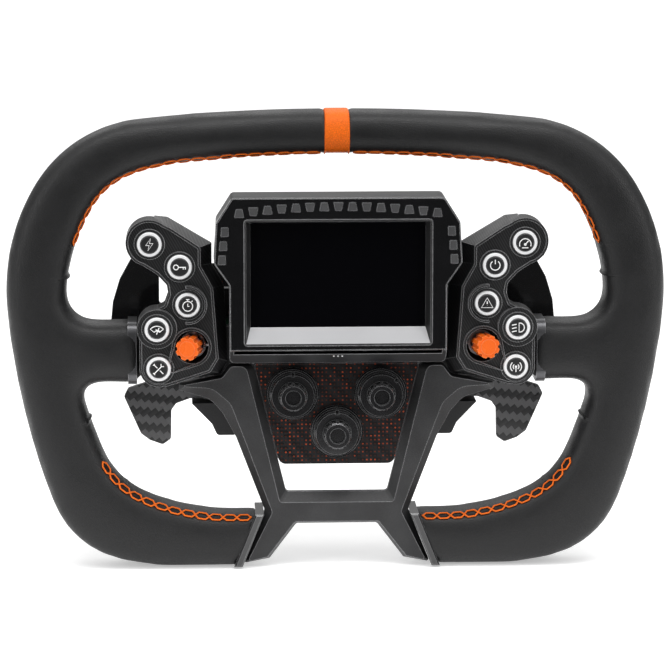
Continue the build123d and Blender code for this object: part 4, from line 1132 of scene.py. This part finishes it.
@dataclass
class PaddedRim:
    """The foam grip with its two leather skins and the orange centre band.

    Attributes:
        voxel: Size of the net that the skin is made from, in metres.
        relax_steps: How often the net is smoothed before it is blown up.
        pressure: Air pressure that rounds the section.
        sim_frames: Length of the simulation in frames.
        most_sideways: How far a point may move in the wheel's plane, in metres.
        most_deep: How far a point may move front to back, in metres.
        band_half: Half the width of the centre band.
        groove: Gap on each side of the band.
        spoke_end: Distance from the centre at which the leather spoke ends.
        grip_end: Two points of the slanted plane that ends the lower grip.
        middle_depth: Depth of the grip's middle.
        merge_smooth: How strongly each smoothing step pulls.
        stiffness: Stiffness of the blown-up net.
        top_above: Height above which the grip is its top run.
        low_below: Height below which it is a lower run.
        spoke_band: Heights between which it is a spoke.
        spoke_inside: Distance from the centre within which a face belongs to the spoke's end.
        grip_inside: The same for the lower grip's end.
        band_hold: Held distance from the middle, its fade and its weight, beside the band.
        grip_hold: Held distance from the middle and its fade at the lower grip's end.
        spoke_hold: The same at the spoke's end.
        lip: Width of the rolled lip at each end.
        lip_share: Size of a lip's edge as a share of the end's.
        band_raise: How much the band stands over the skins.
        skins: The two skins, once built.
        band: The centre band, once built.
    """

    voxel: float = 0.0034
    relax_steps: int = 6
    pressure: float = 4.0
    sim_frames: int = 16
    most_sideways: float = 0.0009
    most_deep: float = 0.0022
    band_half: float = 0.0065
    groove: float = 0.0003
    spoke_end: float = 0.1047
    grip_end: tuple[Place, Place] = ((0.0418, -0.0898), (0.0522, -0.1157))
    middle_depth: float = 0.048
    merge_smooth: float = 0.5
    stiffness: float = 20.0
    top_above: float = 0.05
    low_below: float = -0.075
    spoke_band: tuple[float, float] = (-0.04, 0.03)
    spoke_inside: float = 0.118
    grip_inside: float = 0.075
    band_hold: tuple[float, float, float] = (0.009, 0.006, 0.6)
    grip_hold: tuple[float, float] = (0.066, 0.010)
    spoke_hold: tuple[float, float] = (0.114, 0.008)
    lip: float = 0.0006
    lip_share: float = 0.95
    band_raise: float = 0.0003
    skins: dict[Side, bpy.types.Object] = field(default_factory=dict)
    band: bpy.types.Object | None = None

    def build_net(self) -> bpy.types.Object:
        """Makes one smooth closed net over the whole grip.

        Returns:
            The net, which still has its core and fittings at the ends.
        """
        names = (
            "left_leather", "right_leather", "centre_band", "rim_foam", "rim_core",
            "grip_end_collars", "spoke_brackets",
        )
        parts = [copy_of(frame["nodes"][name], "net_" + name) for name in names]
        net = join_all(parts, "grip_net")
        make_active(net)
        bpy.ops.object.mode_set(mode="EDIT")
        bpy.ops.mesh.select_all(action="SELECT")
        bpy.ops.mesh.remove_doubles(threshold=MERGE)
        bpy.ops.object.mode_set(mode="OBJECT")
        apply_modifier(net, "REMESH", mode="VOXEL", voxel_size=self.voxel)
        self.keep_largest(net)
        apply_modifier(net, "SMOOTH", factor=self.merge_smooth, iterations=self.relax_steps)
        return net

    @staticmethod
    def keep_largest(net: bpy.types.Object) -> None:
        """Deletes the small loose bubbles inside a net.

        Args:
            net: The remeshed object.
        """
        make_active(net)
        bpy.ops.object.mode_set(mode="EDIT")
        bpy.ops.mesh.select_mode(type="VERT")
        bpy.ops.mesh.select_all(action="DESELECT")
        bpy.ops.object.mode_set(mode="OBJECT")
        farthest = max(net.data.vertices, key=lambda vertex: abs(vertex.co.x))
        farthest.select = True
        bpy.ops.object.mode_set(mode="EDIT")
        bpy.ops.mesh.select_linked()
        bpy.ops.mesh.select_all(action="INVERT")
        bpy.ops.mesh.delete(type="VERT")
        bpy.ops.object.mode_set(mode="OBJECT")

    def held_weight(self, point: Vector) -> float:
        """How firmly a point is held: 1 at the fittings and beside the band, 0 on the open grip.

        Args:
            point: The point to weigh.

        Returns:
            Its weight in the cloth.
        """
        across, height = abs(point.x), point.z
        if height > self.top_above:
            held, fade, weight = self.band_hold
            return max(0.0, 1.0 - max(0.0, across - held) / fade) * weight
        held, fade = self.grip_hold if height < self.low_below else self.spoke_hold
        return max(0.0, min(1.0, (held - across) / fade))

    def blow_up(self, net: bpy.types.Object) -> None:
        """Rounds the net's section by a short simulation under pressure, then limits each move.

        Args:
            net: The net to round.
        """
        before = [vertex.co.copy() for vertex in net.data.vertices]
        group = net.vertex_groups.new(name="held")
        for vertex in net.data.vertices:
            group.add([vertex.index], self.held_weight(vertex.co), "REPLACE")
        make_active(net)
        cloth = net.modifiers.new("Cloth", "CLOTH")
        cloth.settings.use_pressure = True
        cloth.settings.uniform_pressure_force = self.pressure
        cloth.settings.effector_weights.gravity = 0.0
        cloth.settings.vertex_group_mass = "held"
        cloth.settings.tension_stiffness = self.stiffness
        cloth.settings.compression_stiffness = self.stiffness
        cloth.point_cache.frame_end = self.sim_frames
        scene = bpy.context.scene
        for step in range(1, self.sim_frames + 1):
            scene.frame_set(step)
        bpy.ops.object.modifier_apply(modifier="Cloth")
        scene.frame_set(1)
        for vertex, start in zip(net.data.vertices, before):
            move = vertex.co - start
            sideways = Vector((move.x, 0.0, move.z))
            if sideways.length > self.most_sideways:
                sideways *= self.most_sideways / sideways.length
            deep = max(-self.most_deep, min(self.most_deep, move.y))
            vertex.co = start + sideways + Vector((0.0, deep, 0.0))
        net.vertex_groups.clear()

    def cut(
        self, piece: bpy.types.Object, point: Vector, normal: Vector, test: FaceTest
    ) -> None:
        """Cuts off part of a piece along a plane and closes the hole with a rolled lip.

        Args:
            piece: The piece to cut.
            point: A point of the plane.
            normal: The plane's normal, towards what is cut off.
            test: Which faces the cut may touch, as in select_faces.
        """
        make_active(piece)
        if not select_faces(piece, test):
            raise ValueError(f"nothing of {piece.name} to cut at {tuple(point)}")
        start = point - normal * self.lip
        bpy.ops.mesh.bisect(
            plane_co=start, plane_no=normal, use_fill=False, clear_outer=True, threshold=MERGE
        )
        bpy.ops.object.mode_set(mode="OBJECT")
        bpy.ops.object.mode_set(mode="EDIT")
        bpy.ops.mesh.select_mode(type="EDGE")
        bpy.ops.mesh.select_all(action="DESELECT")
        bpy.ops.mesh.select_non_manifold(
            extend=False, use_wire=False, use_boundary=True, use_multi_face=False,
            use_non_contiguous=False, use_verts=False,
        )
        bpy.ops.mesh.extrude_edges_move(
            TRANSFORM_OT_translate={"value": tuple(normal * self.lip)}
        )
        bpy.ops.transform.resize(
            value=(self.lip_share,) * 3, center_override=self.middle(piece)
        )
        bpy.ops.mesh.edge_face_add()
        bpy.ops.object.mode_set(mode="OBJECT")

    @staticmethod
    def middle(piece: bpy.types.Object) -> Vector:
        """The middle of the selected points of a piece in edit mode.

        Args:
            piece: The piece, in edit mode.

        Returns:
            Their mean.
        """
        piece.update_from_editmode()
        chosen = [vertex.co for vertex in piece.data.vertices if vertex.select]
        return sum(chosen, Vector()) / max(1, len(chosen))

    def build(self) -> None:
        """Builds the two skins and the band."""
        net = self.build_net()
        self.blow_up(net)
        apply_modifier(net, "SUBSURF", levels=1, render_levels=1)
        self.build_half(net)
        self.build_band(net)
        bpy.data.objects.remove(net)

    def build_half(self, net: bpy.types.Object) -> None:
        """Cuts the left skin, finishes it and mirrors it to the right.

        Args:
            net: The rounded net.
        """
        skin = copy_of(net, "left_skin")
        edge = -self.band_half - self.groove
        low, high = (Vector((-x, -self.middle_depth, z)) for x, z in self.grip_end)
        slant = (high - low).normalized()
        towards_middle = Vector((-slant.z, 0.0, slant.x))
        if towards_middle.x < 0:
            towards_middle.negate()
        self.cut(
            skin, ACROSS * edge, ACROSS, lambda centre, _: centre.z > self.top_above
        )
        self.cut(
            skin, ACROSS * -self.spoke_end, ACROSS,
            lambda centre, _: (
                self.spoke_band[0] < centre.z < self.spoke_band[1]
                and centre.x > -self.spoke_inside
            ),
        )
        self.cut(
            skin, low, towards_middle,
            lambda centre, _: centre.z < self.low_below and centre.x > -self.grip_inside,
        )
        apply_modifier(skin, "SUBSURF", levels=1, render_levels=1)
        bpy.ops.object.shade_smooth()
        self.skins[Side.LEFT] = skin
        self.skins[Side.RIGHT] = mirrored(skin, "right_skin")

    def build_band(self, net: bpy.types.Object) -> None:
        """Cuts the centre band from the net and raises it a little.

        Args:
            net: The rounded net.
        """
        band = copy_of(net, "sewn_band")
        for sign in (1, -1):
            self.cut(
                band, ACROSS * (sign * self.band_half), ACROSS * sign, lambda centre, _: True
            )
        select_faces(band, lambda centre, _: centre.z < self.top_above)
        bpy.ops.mesh.delete(type="FACE")
        bpy.ops.mesh.select_all(action="SELECT")
        bpy.ops.transform.shrink_fatten(value=self.band_raise)
        bpy.ops.object.mode_set(mode="OBJECT")
        apply_modifier(band, "SUBSURF", levels=2, render_levels=2)
        bpy.ops.object.shade_smooth()
        self.band = band

    def dress(self) -> None:
        """Sets the leather finishes, joins the pieces to the wheel and hides the CAD nodes that they
        replace.
        """
        for side, skin in self.skins.items():
            paint(skin, BLACK_LEATHER.make())
            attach(skin, BODY)
            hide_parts(f"{side.word}_leather", "rim_foam")
        paint(self.band, ORANGE_LEATHER.make())
        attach(self.band, BODY)
        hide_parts("centre_band")
        log.info("grip: two skins and the band")


@dataclass
class SeamStitching:
    """The crossed orange stitches along the inside of the grip.

    Attributes:
        upper_depth: Place of the upper seam front to back.
        lower_depth: Place of the lower seam front to back.
        pitch: Length of one stitch.
        half_width: Half the width of the stitches.
        thread: Diameter of the thread.
        shape: Points of one strand, as shares of the stitch's length and half its width.
        crossing_lift: How far one strand lies over the other where they cross.
        crossing_from: Where the crossing starts, as a share of half the stitch's length.
        standoff: How far a thread's middle stands off the leather, as a share of its width.
        groove_depth: Depth of the channel that the seam pulls into the leather.
        groove_width: Width of that channel.
        pull_reach: How far from the seam the leather shows pull marks.
        ray_reach: How far from its given points the seam is looked for.
        upper: Points near the upper seam, across and up, from the side to the band.
        lower: Points near the lower seam, from the side to the grip's end.
    """

    upper_depth: float = -0.0572
    lower_depth: float = -0.0592
    pitch: float = 0.0070
    half_width: float = 0.0021
    thread: float = 0.0009
    shape: tuple[Place, ...] = ((-0.04, 0.12), (0.24, 1.0), (0.76, 1.0), (1.04, -0.12))
    crossing_lift: float = 0.000132
    crossing_from: float = 0.8
    standoff: float = 0.35
    groove_depth: float = 0.0006
    groove_width: float = 0.0013
    pull_reach: float = 0.018
    ray_reach: float = 0.02
    upper: tuple[Place, ...] = (
        (0.1300, 0.0480), (0.1220, 0.0672), (0.1140, 0.0765), (0.1000, 0.0846), (0.0850, 0.0885),
        (0.0700, 0.0905), (0.0400, 0.0925), (0.0085, 0.0935),
    )
    lower: tuple[Place, ...] = (
        (0.1165, -0.0605), (0.1085, -0.0700), (0.0968, -0.0799), (0.0850, -0.0860),
        (0.0720, -0.0888), (0.0600, -0.0892), (0.0435, -0.0892),
    )

    def seam_line(
        self, tree: BVHTree, points: tuple[Place, ...], depth: float
    ) -> list[tuple[Vector, Vector]]:
        """Lays a fine line on the skin's inner face.

        Args:
            tree: The skin's faces.
            points: Points near the line on the right side.
            depth: The line's place front to back.

        Returns:
            Places on the left skin with their normals, about a millimetre apart.
        """
        spots = [Vector((-x, depth, z)) for x, z in points]
        fine = []
        for index in range(len(spots) - 1):
            first = spots[max(0, index - 1)]
            start, end = spots[index], spots[index + 1]
            last = spots[min(len(spots) - 1, index + 2)]
            steps = max(2, int((end - start).length / MM))
            for step in range(steps):
                t = step / steps
                fine.append(self.smooth_point(first, start, end, last, t))
        fine.append(spots[-1])
        line = []
        for index, spot in enumerate(fine):
            along = fine[min(index + 1, len(fine) - 1)] - fine[max(index - 1, 0)]
            outward = Vector((-along.z, 0.0, along.x)).normalized()
            if outward.dot(spot) < 0:
                outward.negate()
            place, normal, _, _ = tree.ray_cast(
                spot - outward * self.ray_reach, outward, 2 * self.ray_reach
            )
            if place is not None:
                line.append((place, normal))
        return line

    @staticmethod
    def smooth_point(a: Vector, b: Vector, c: Vector, d: Vector, t: float) -> Vector:
        """A point between b and c on a smooth line through a, b, c and d.

        Args:
            a: The point before the run.
            b: Start of the run.
            c: End of the run.
            d: The point after it.
            t: Share of the way from b to c.

        Returns:
            The point on the line.
        """
        return 0.5 * (
            2 * b + (c - a) * t + (2 * a - 5 * b + 4 * c - d) * t * t
            + (3 * b - a - 3 * c + d) * t * t * t
        )

    def stitch_model(self) -> bpy.types.Object:
        """Models one crossed stitch lying flat, along the first axis and across the third.

        Returns:
            The stitch.
        """
        strokes = []
        for sign in (1, -1):
            points = [
                ((share - 0.5) * self.pitch, sign * (across if index else -across) * self.half_width)
                for index, (share, across) in enumerate(self.shape)
            ]
            strokes.append((points, False))
        stitch = drawn_strokes("stitch", strokes, self.thread, resolution=1)
        for vertex in stitch.data.vertices:
            end = abs(vertex.co.x) / (self.pitch / 2)
            side = 1 if vertex.co.z * (1 if vertex.co.x > 0 else -1) > 0 else -1
            if end > self.crossing_from:
                vertex.co.y -= self.crossing_lift * side
        return stitch

    def sew(self, skin: bpy.types.Object, side: Side) -> bpy.types.Object:
        """Sews the upper and the lower seam of one skin.

        Args:
            skin: That side's skin.
            side: Which side it is.

        Returns:
            All the stitches of that side as one object.
        """
        tree = surface_of(skin)
        model = self.stitch_model()
        stitches = []
        for points, depth in ((self.upper, self.upper_depth), (self.lower, self.lower_depth)):
            line = self.seam_line(tree, points, depth)
            self.mark_leather(skin, line)
            stitches += self.lay_stitches(model, line)
        bpy.data.objects.remove(model)
        sewn = join_all(stitches, f"{side.word}_stitching")
        bpy.ops.object.shade_smooth()
        return sewn

    def lay_stitches(
        self, model: bpy.types.Object, line: list[tuple[Vector, Vector]]
    ) -> list[bpy.types.Object]:
        """Copies the stitch along a seam.

        Args:
            model: The flat stitch.
            line: The seam's places and normals.

        Returns:
            One object for each stitch.
        """
        lengths = [0.0]
        for (first, _), (second, _) in zip(line, line[1:]):
            lengths.append(lengths[-1] + (second - first).length)
        count = round(lengths[-1] / self.pitch)
        pitch = lengths[-1] / count
        laid = []
        for number in range(count):
            ends = [self.at(line, lengths, (number + part) * pitch) for part in (0, 0.5, 1)]
            along = (ends[2][0] - ends[0][0]).normalized()
            normal = ends[1][1]
            across = normal.cross(along).normalized()
            normal = along.cross(across)
            middle = ends[1][0] + normal * self.thread * self.standoff
            turn = Matrix((along, -normal, across)).transposed().to_4x4()
            stitch = copy_of(model, f"stitch_{number}")
            stitch.data.transform(Matrix.Translation(middle) @ turn)
            laid.append(stitch)
        return laid

    @staticmethod
    def at(
        line: list[tuple[Vector, Vector]], lengths: list[float], distance: float
    ) -> tuple[Vector, Vector]:
        """The place and normal at a distance along a line.

        Args:
            line: Places and normals along the line.
            lengths: Distance of each from the start.
            distance: Distance to look up.

        Returns:
            The place and the normal there.
        """
        index = next((i for i, l in enumerate(lengths) if l >= distance), len(lengths) - 1)
        index = max(1, index)
        span = max(1e-9, lengths[index] - lengths[index - 1])
        part = (distance - lengths[index - 1]) / span
        place = line[index - 1][0].lerp(line[index][0], part)
        normal = line[index - 1][1].lerp(line[index][1], part).normalized()
        return place, normal

    def mark_leather(self, skin: bpy.types.Object, line: list[tuple[Vector, Vector]]) -> None:
        """Sinks the seam's channel and stores how near each point is to the seam.

        Args:
            skin: The skin to mark.
            line: The seam's places and normals.
        """
        mesh = skin.data
        for name in ("along", "near"):
            if name not in mesh.attributes:
                mesh.attributes.new(name, "FLOAT", "POINT")
        along, near = mesh.attributes["along"].data, mesh.attributes["near"].data
        places = [place for place, _ in line]
        low = [min(place[axis] for place in places) - self.pull_reach for axis in range(3)]
        high = [max(place[axis] for place in places) + self.pull_reach for axis in range(3)]
        finder = KDTree(len(places))
        for index, place in enumerate(places):
            finder.insert(place, index)
        finder.balance()
        for vertex in mesh.vertices:
            point = vertex.co
            if any(not low[axis] <= point[axis] <= high[axis] for axis in range(3)):
                continue
            _, index, distance = finder.find(point)
            if distance > self.pull_reach:
                continue
            share = max(0.0, 1.0 - distance / self.pull_reach)
            near[vertex.index].value = max(near[vertex.index].value, share * share)
            along[vertex.index].value = index * MM
            sink = self.groove_depth * math.exp(-((distance / self.groove_width) ** 2))
            if 0 < index < len(places) - 1:
                vertex.co -= line[index][1] * sink

    def build(self, rim: PaddedRim) -> dict[Side, bpy.types.Object]:
        """Sews the left skin and mirrors its stitches and marks to the right.

        Args:
            rim: The padded rim, built.

        Returns:
            The stitching of each side.
        """
        left = self.sew(rim.skins[Side.LEFT], Side.LEFT)
        right = mirrored(left, "right_stitching")
        skin, old = rim.skins[Side.RIGHT], rim.skins[Side.RIGHT].data
        skin.data = rim.skins[Side.LEFT].data.copy()
        skin.data.transform(SWAP_SIDES)
        bpy.data.meshes.remove(old)
        settle_mesh(skin)
        for piece in (left, right):
            paint(piece, ORANGE_THREAD.make())
            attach(piece, BODY)
        log.info("seams: stitches of both sides")
        return {Side.LEFT: left, Side.RIGHT: right}


# Buttons


def arc(
    radius: float, start: float, end: float, centre: Place = (0.0, 0.0), steps: int = 20
) -> list[Place]:
    """Points of an arc, its angles in degrees from the first axis.

    Args:
        radius: Radius of the arc.
        start: Angle it starts at.
        end: Angle it ends at.
        centre: Its centre.
        steps: How many lines it is made of.

    Returns:
        The points in order.
    """
    angles = [math.radians(start + (end - start) * step / steps) for step in range(steps + 1)]
    return [
        (centre[0] + radius * math.cos(angle), centre[1] + radius * math.sin(angle))
        for angle in angles
    ]


class Icon(Enum):
    """The line drawings on the push buttons, in millimetres."""

    BOOST = "boost"
    IGNITION = "ignition"
    TIMER = "timer"
    WIPER = "wiper"
    SERVICE = "service"
    PIT = "pit"
    POWER = "power"
    HAZARD = "hazard"
    HEADLIGHT = "headlight"
    RADIO = "radio"

    def strokes(self) -> list[Stroke]:
        """The drawing's lines, each with whether it is a loop.

        Returns:
            The lines of the drawing.
        """
        return {
            Icon.BOOST: [
                ([(0.5, 2.5), (-1.5, -0.3), (-0.1, -0.3), (-0.6, -2.5), (1.5, 0.5), (0.1, 0.5)], True)
            ],
            Icon.IGNITION: [
                (arc(1.0, 0, 342, (-1.5, 0.0)), True),
                ([(-0.5, 0.0), (2.6, 0.0)], False),
                ([(1.5, 0.0), (1.5, -0.9)], False),
                ([(2.4, 0.0), (2.4, -0.9)], False),
            ],
            Icon.TIMER: [
                (arc(2.05, 0, 342, (0.0, -0.4)), True),
                ([(0.0, 1.7), (0.0, 2.4)], False),
                ([(-0.7, 2.45), (0.7, 2.45)], False),
                ([(1.6, 1.5), (2.0, 1.9)], False),
                ([(0.0, 0.7), (0.0, -0.4), (0.7, -0.4)], False),
            ],
            Icon.WIPER: [
                (arc(3.5, 40, 140, (0.0, -1.9)) + arc(1.5, 140, 40, (0.0, -1.9)), True),
                ([(-0.2, -1.9), (0.9, 0.9)], False),
                ([(-0.5, 0.1), (1.5, -0.6)], False),
            ],
            Icon.SERVICE: [
                ([(-1.9, -1.9), (1.3, 1.3)], False),
                ([(1.0, 2.3), (1.0, 1.2), (2.2, 1.2)], False),
                ([(1.9, -1.9), (0.5, -0.5)], False),
                ([(-0.5, 0.5), (-1.9, 1.9)], False),
                ([(-2.3, 1.6), (-1.6, 2.3)], False),
                ([(-2.3, -1.5), (-1.5, -2.3)], False),
            ],
            Icon.PIT: [
                (arc(2.4, -20, 200, (0.0, -0.8)), False),
                ([(0.0, -0.8), (1.3, 0.7)], False),
                (arc(0.35, 0, 342, (0.0, -0.8)), True),
                ([(-1.3, -2.2), (1.3, -2.2)], False),
            ],
            Icon.POWER: [
                (arc(2.0, 125, 415), False),
                ([(0.0, 0.5), (0.0, 2.4)], False),
            ],
            Icon.HAZARD: [
                ([(0.0, 2.3), (2.4, -1.8), (-2.4, -1.8)], True),
                ([(0.0, 0.9), (0.0, -0.3)], False),
                ([(0.0, -1.0), (0.0, -1.05)], False),
            ],
            Icon.HEADLIGHT: [
                ([(0.4, -1.9)] + arc(1.9, -80, 80, (0.7, 0.0)) + [(0.4, 1.9)], True),
                ([(-0.6, 1.4), (-2.6, 1.0)], False),
                ([(-0.6, 0.0), (-2.6, -0.4)], False),
                ([(-0.6, -1.4), (-2.6, -1.8)], False),
            ],
            Icon.RADIO: [
                (arc(0.3, 0, 342), True),
                ([(0.0, -0.3), (0.0, -2.2)], False),
                (arc(1.2, -50, 50), False),
                (arc(1.2, 130, 230), False),
                (arc(2.3, -50, 50), False),
                (arc(2.3, 130, 230), False),
            ],
        }[self]


@dataclass
class PushButtons:
    """The ten push buttons with their line icons.

    Attributes:
        line: Width of the icons' lines.
        proud: How much of a line's roundness stands out, as a share.
        scale: Size of the drawings as a share of how they are given.
    """

    line: float = 0.00052
    proud: float = 0.35
    scale: float = 1.2

    def build(self) -> None:
        """Draws each icon on its button and lets it move with it."""
        for icon in Icon:
            node = f"{icon.value}_button"
            low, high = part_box(node)
            strokes = [
                ([(x * MM * self.scale, z * MM * self.scale) for x, z in points], closed)
                for points, closed in icon.strokes()
            ]
            piece = drawn_strokes(f"{icon.value}_icon", strokes, self.line)
            centre = (low + high) / 2
            piece.data.transform(Matrix.Diagonal((1.0, self.proud, 1.0, 1.0)))
            piece.data.transform(Matrix.Translation((centre.x, low.y, centre.z)))
            settle_mesh(piece)
            paint(piece, ICON_WHITE.make())
            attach(piece, node)
            paint(frame["nodes"][node], BUTTON_BLACK.make())
        log.info("buttons: ten icons")


@dataclass
class DisplayUnit:
    """The display with its three small status lights below the screen.

    Attributes:
        light_radius: Radius of a status light.
        light_pitch: Distance between them.
        light_height: Their height.
        light_tall: How thick one is.
        light_edge: Width of its sloping edge as a share of its radius.
        light_dome: How much its middle stands out.
        look_from: Depth from which the housing's face is looked for.
    """

    light_radius: float = 0.00042
    light_pitch: float = 0.0021
    light_height: float = -0.0062
    light_tall: float = 0.0004
    light_edge: float = 0.35
    light_dome: float = 0.00015
    look_from: float = -0.2

    def build(self) -> None:
        """Models one status light and sets three of them in the lower edge."""
        place, normal, _, _ = surface_of(frame["nodes"]["display_housing"]).ray_cast(
            Vector((0.0, self.look_from, self.light_height)), Vector((0.0, 1.0, 0.0))
        )
        if place is None:
            raise ValueError("the display housing has no face at the status lights")
        deselect_all()
        bpy.ops.mesh.primitive_cylinder_add(
            vertices=24, radius=self.light_radius, depth=self.light_tall
        )
        lamp = bpy.context.object
        select_faces(lamp, lambda _, normal: normal.z > 0.9)
        bpy.ops.mesh.inset(thickness=self.light_radius * self.light_edge, depth=0.0)
        bpy.ops.transform.translate(value=(0.0, 0.0, self.light_dome))
        bpy.ops.object.mode_set(mode="OBJECT")
        lamp.data.transform(normal.to_track_quat("Z", "Y").to_matrix().to_4x4())
        lamps = []
        for number in (-1, 0, 1):
            lamp_copy = copy_of(lamp, f"status_{number}")
            lamp_copy.data.transform(
                Matrix.Translation(place + Vector((number * self.light_pitch, 0, 0)))
            )
            lamps.append(lamp_copy)
        bpy.data.objects.remove(lamp)
        piece = join_all(lamps, "status_lights")
        settle_mesh(piece)
        paint(piece, LIGHT_RING.make())
        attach(piece, BODY)
        log.info("display: status lights")


# Studio


@dataclass(frozen=True)
class SoftLight:
    """A soft rectangular light that points at the wheel.

    Attributes:
        name: The light's name.
        place: Where it hangs.
        size: Its two sides in metres.
        power: Its power in watts.
    """

    name: str
    place: tuple[float, float, float]
    size: tuple[float, float]
    power: float


@dataclass
class Studio:
    """A pale floor, soft lights and the camera.

    Attributes:
        floor_size: Length of the floor's sides.
        floor_front: How far the floor reaches in front of the hub.
        floor_gap: How far the floor lies under the wheel.
        lights: The soft lights.
        light_aim: What they point at.
        sky: Strength of the sky at eye level and at its brightest.
        sky_top: Height at which the sky is brightest.
        camera_place: Where the camera stands.
        camera_aim: What it looks at.
        lens: Its focal length.
        sensor: Width of its sensor in millimetres.
    """

    floor_size: float = 60.0
    floor_front: float = 0.36
    floor_gap: float = 0.0005
    lights: tuple[SoftLight, ...] = (
        SoftLight("top_light", (0.0, -0.45, 1.15), (1.4, 0.5), 8.0),
        SoftLight("left_light", (-1.3, -1.0, 0.45), (0.35, 0.9), 5.0),
        SoftLight("right_light", (1.3, -1.0, 0.45), (0.35, 0.9), 5.0),
        SoftLight("back_light", (0.0, 1.3, 0.8), (1.6, 0.6), 3.0),
    )
    light_aim: tuple[float, float, float] = (0.0, -0.03, 0.0)
    sky: tuple[float, float] = (0.08, 1.05)
    sky_top: float = 0.9
    camera_place: tuple[float, float, float] = (-0.073, -1.723, 0.281)
    camera_aim: tuple[float, float, float] = (0.0, -0.048, 0.0)
    lens: float = 180.5
    sensor: float = 36.0

    def build_floor(self) -> None:
        """Lays the floor under the wheel."""
        low, _ = cad_box
        deselect_all()
        bpy.ops.mesh.primitive_grid_add(
            x_subdivisions=4, y_subdivisions=4, size=self.floor_size,
            location=(0.0, self.floor_size / 2 - self.floor_front, low.z - self.floor_gap),
        )
        floor = bpy.context.object
        floor.name = "floor"
        paint(floor, FLOOR_PAPER.make())

    def add_light(self, soft: SoftLight) -> None:
        """Hangs one of the soft lights.

        Args:
            soft: The light to hang.
        """
        light = bpy.data.lights.new(soft.name, "AREA")
        light.shape = "RECTANGLE"
        light.size, light.size_y = soft.size
        light.energy = soft.power
        lamp = bpy.data.objects.new(soft.name, light)
        lamp.location = soft.place
        lamp.rotation_mode = "QUATERNION"
        aim = Vector(self.light_aim) - Vector(soft.place)
        lamp.rotation_quaternion = aim.to_track_quat("-Z", "Y")
        bpy.context.scene.collection.objects.link(lamp)

    def build_lights(self) -> None:
        """Hangs the lights and sets the sky, bright above and dim at eye level."""
        for soft in self.lights:
            self.add_light(soft)
        world = bpy.data.worlds.new("studio")
        world.use_nodes = True
        bench = Bench(world.node_tree)
        height = bench.axes(bench.add("TexCoord").outputs["Generated"])[2]
        sky = world.node_tree.nodes["Background"]
        sky.inputs["Color"].default_value = (1.0, 1.0, 1.0, 1.0)
        overhead = bench.spread(height, *self.sky, 0.0, self.sky_top)
        seen = bench.add("LightPath").outputs["Is Camera Ray"]
        bench.feed(sky.inputs["Strength"], bench.spread(seen, overhead, 1.0))
        bpy.context.scene.world = world

    def build_camera(self) -> None:
        """Sets the camera slightly left of and above the driver's view."""
        camera = bpy.data.objects.new("camera", bpy.data.cameras.new("camera"))
        camera.data.lens = self.lens
        camera.data.sensor_width = self.sensor
        camera.location = self.camera_place
        view = Vector(self.camera_aim) - Vector(self.camera_place)
        camera.rotation_mode = "QUATERNION"
        camera.rotation_quaternion = view.to_track_quat("-Z", "Y")
        bpy.context.scene.collection.objects.link(camera)
        bpy.context.scene.camera = camera
        bpy.context.scene.view_settings.view_transform = "Standard"

    def build(self) -> None:
        """Builds the floor, the lights and the camera."""
        self.build_floor()
        self.build_lights()
        self.build_camera()
        log.info("studio: floor, lights and camera")


def dress_nodes() -> None:
    """Gives every CAD node that stays its finish."""
    for finish, names in NODE_FINISHES.items():
        for name in names:
            paint(frame["nodes"][name], finish.make())
        log.info("finish %s: %d nodes", finish.name, len(names))


def main() -> None:
    """Builds and dresses the wheel in its studio."""
    logging.basicConfig(level=logging.INFO, format="%(name)s: %(message)s")
    Studio().build()
    dress_nodes()
    rim = PaddedRim()
    rim.build()
    SeamStitching().build(rim)
    rim.dress()
    PushButtons().build()
    DisplayUnit().build()


if __name__ == "__main__":
    main()
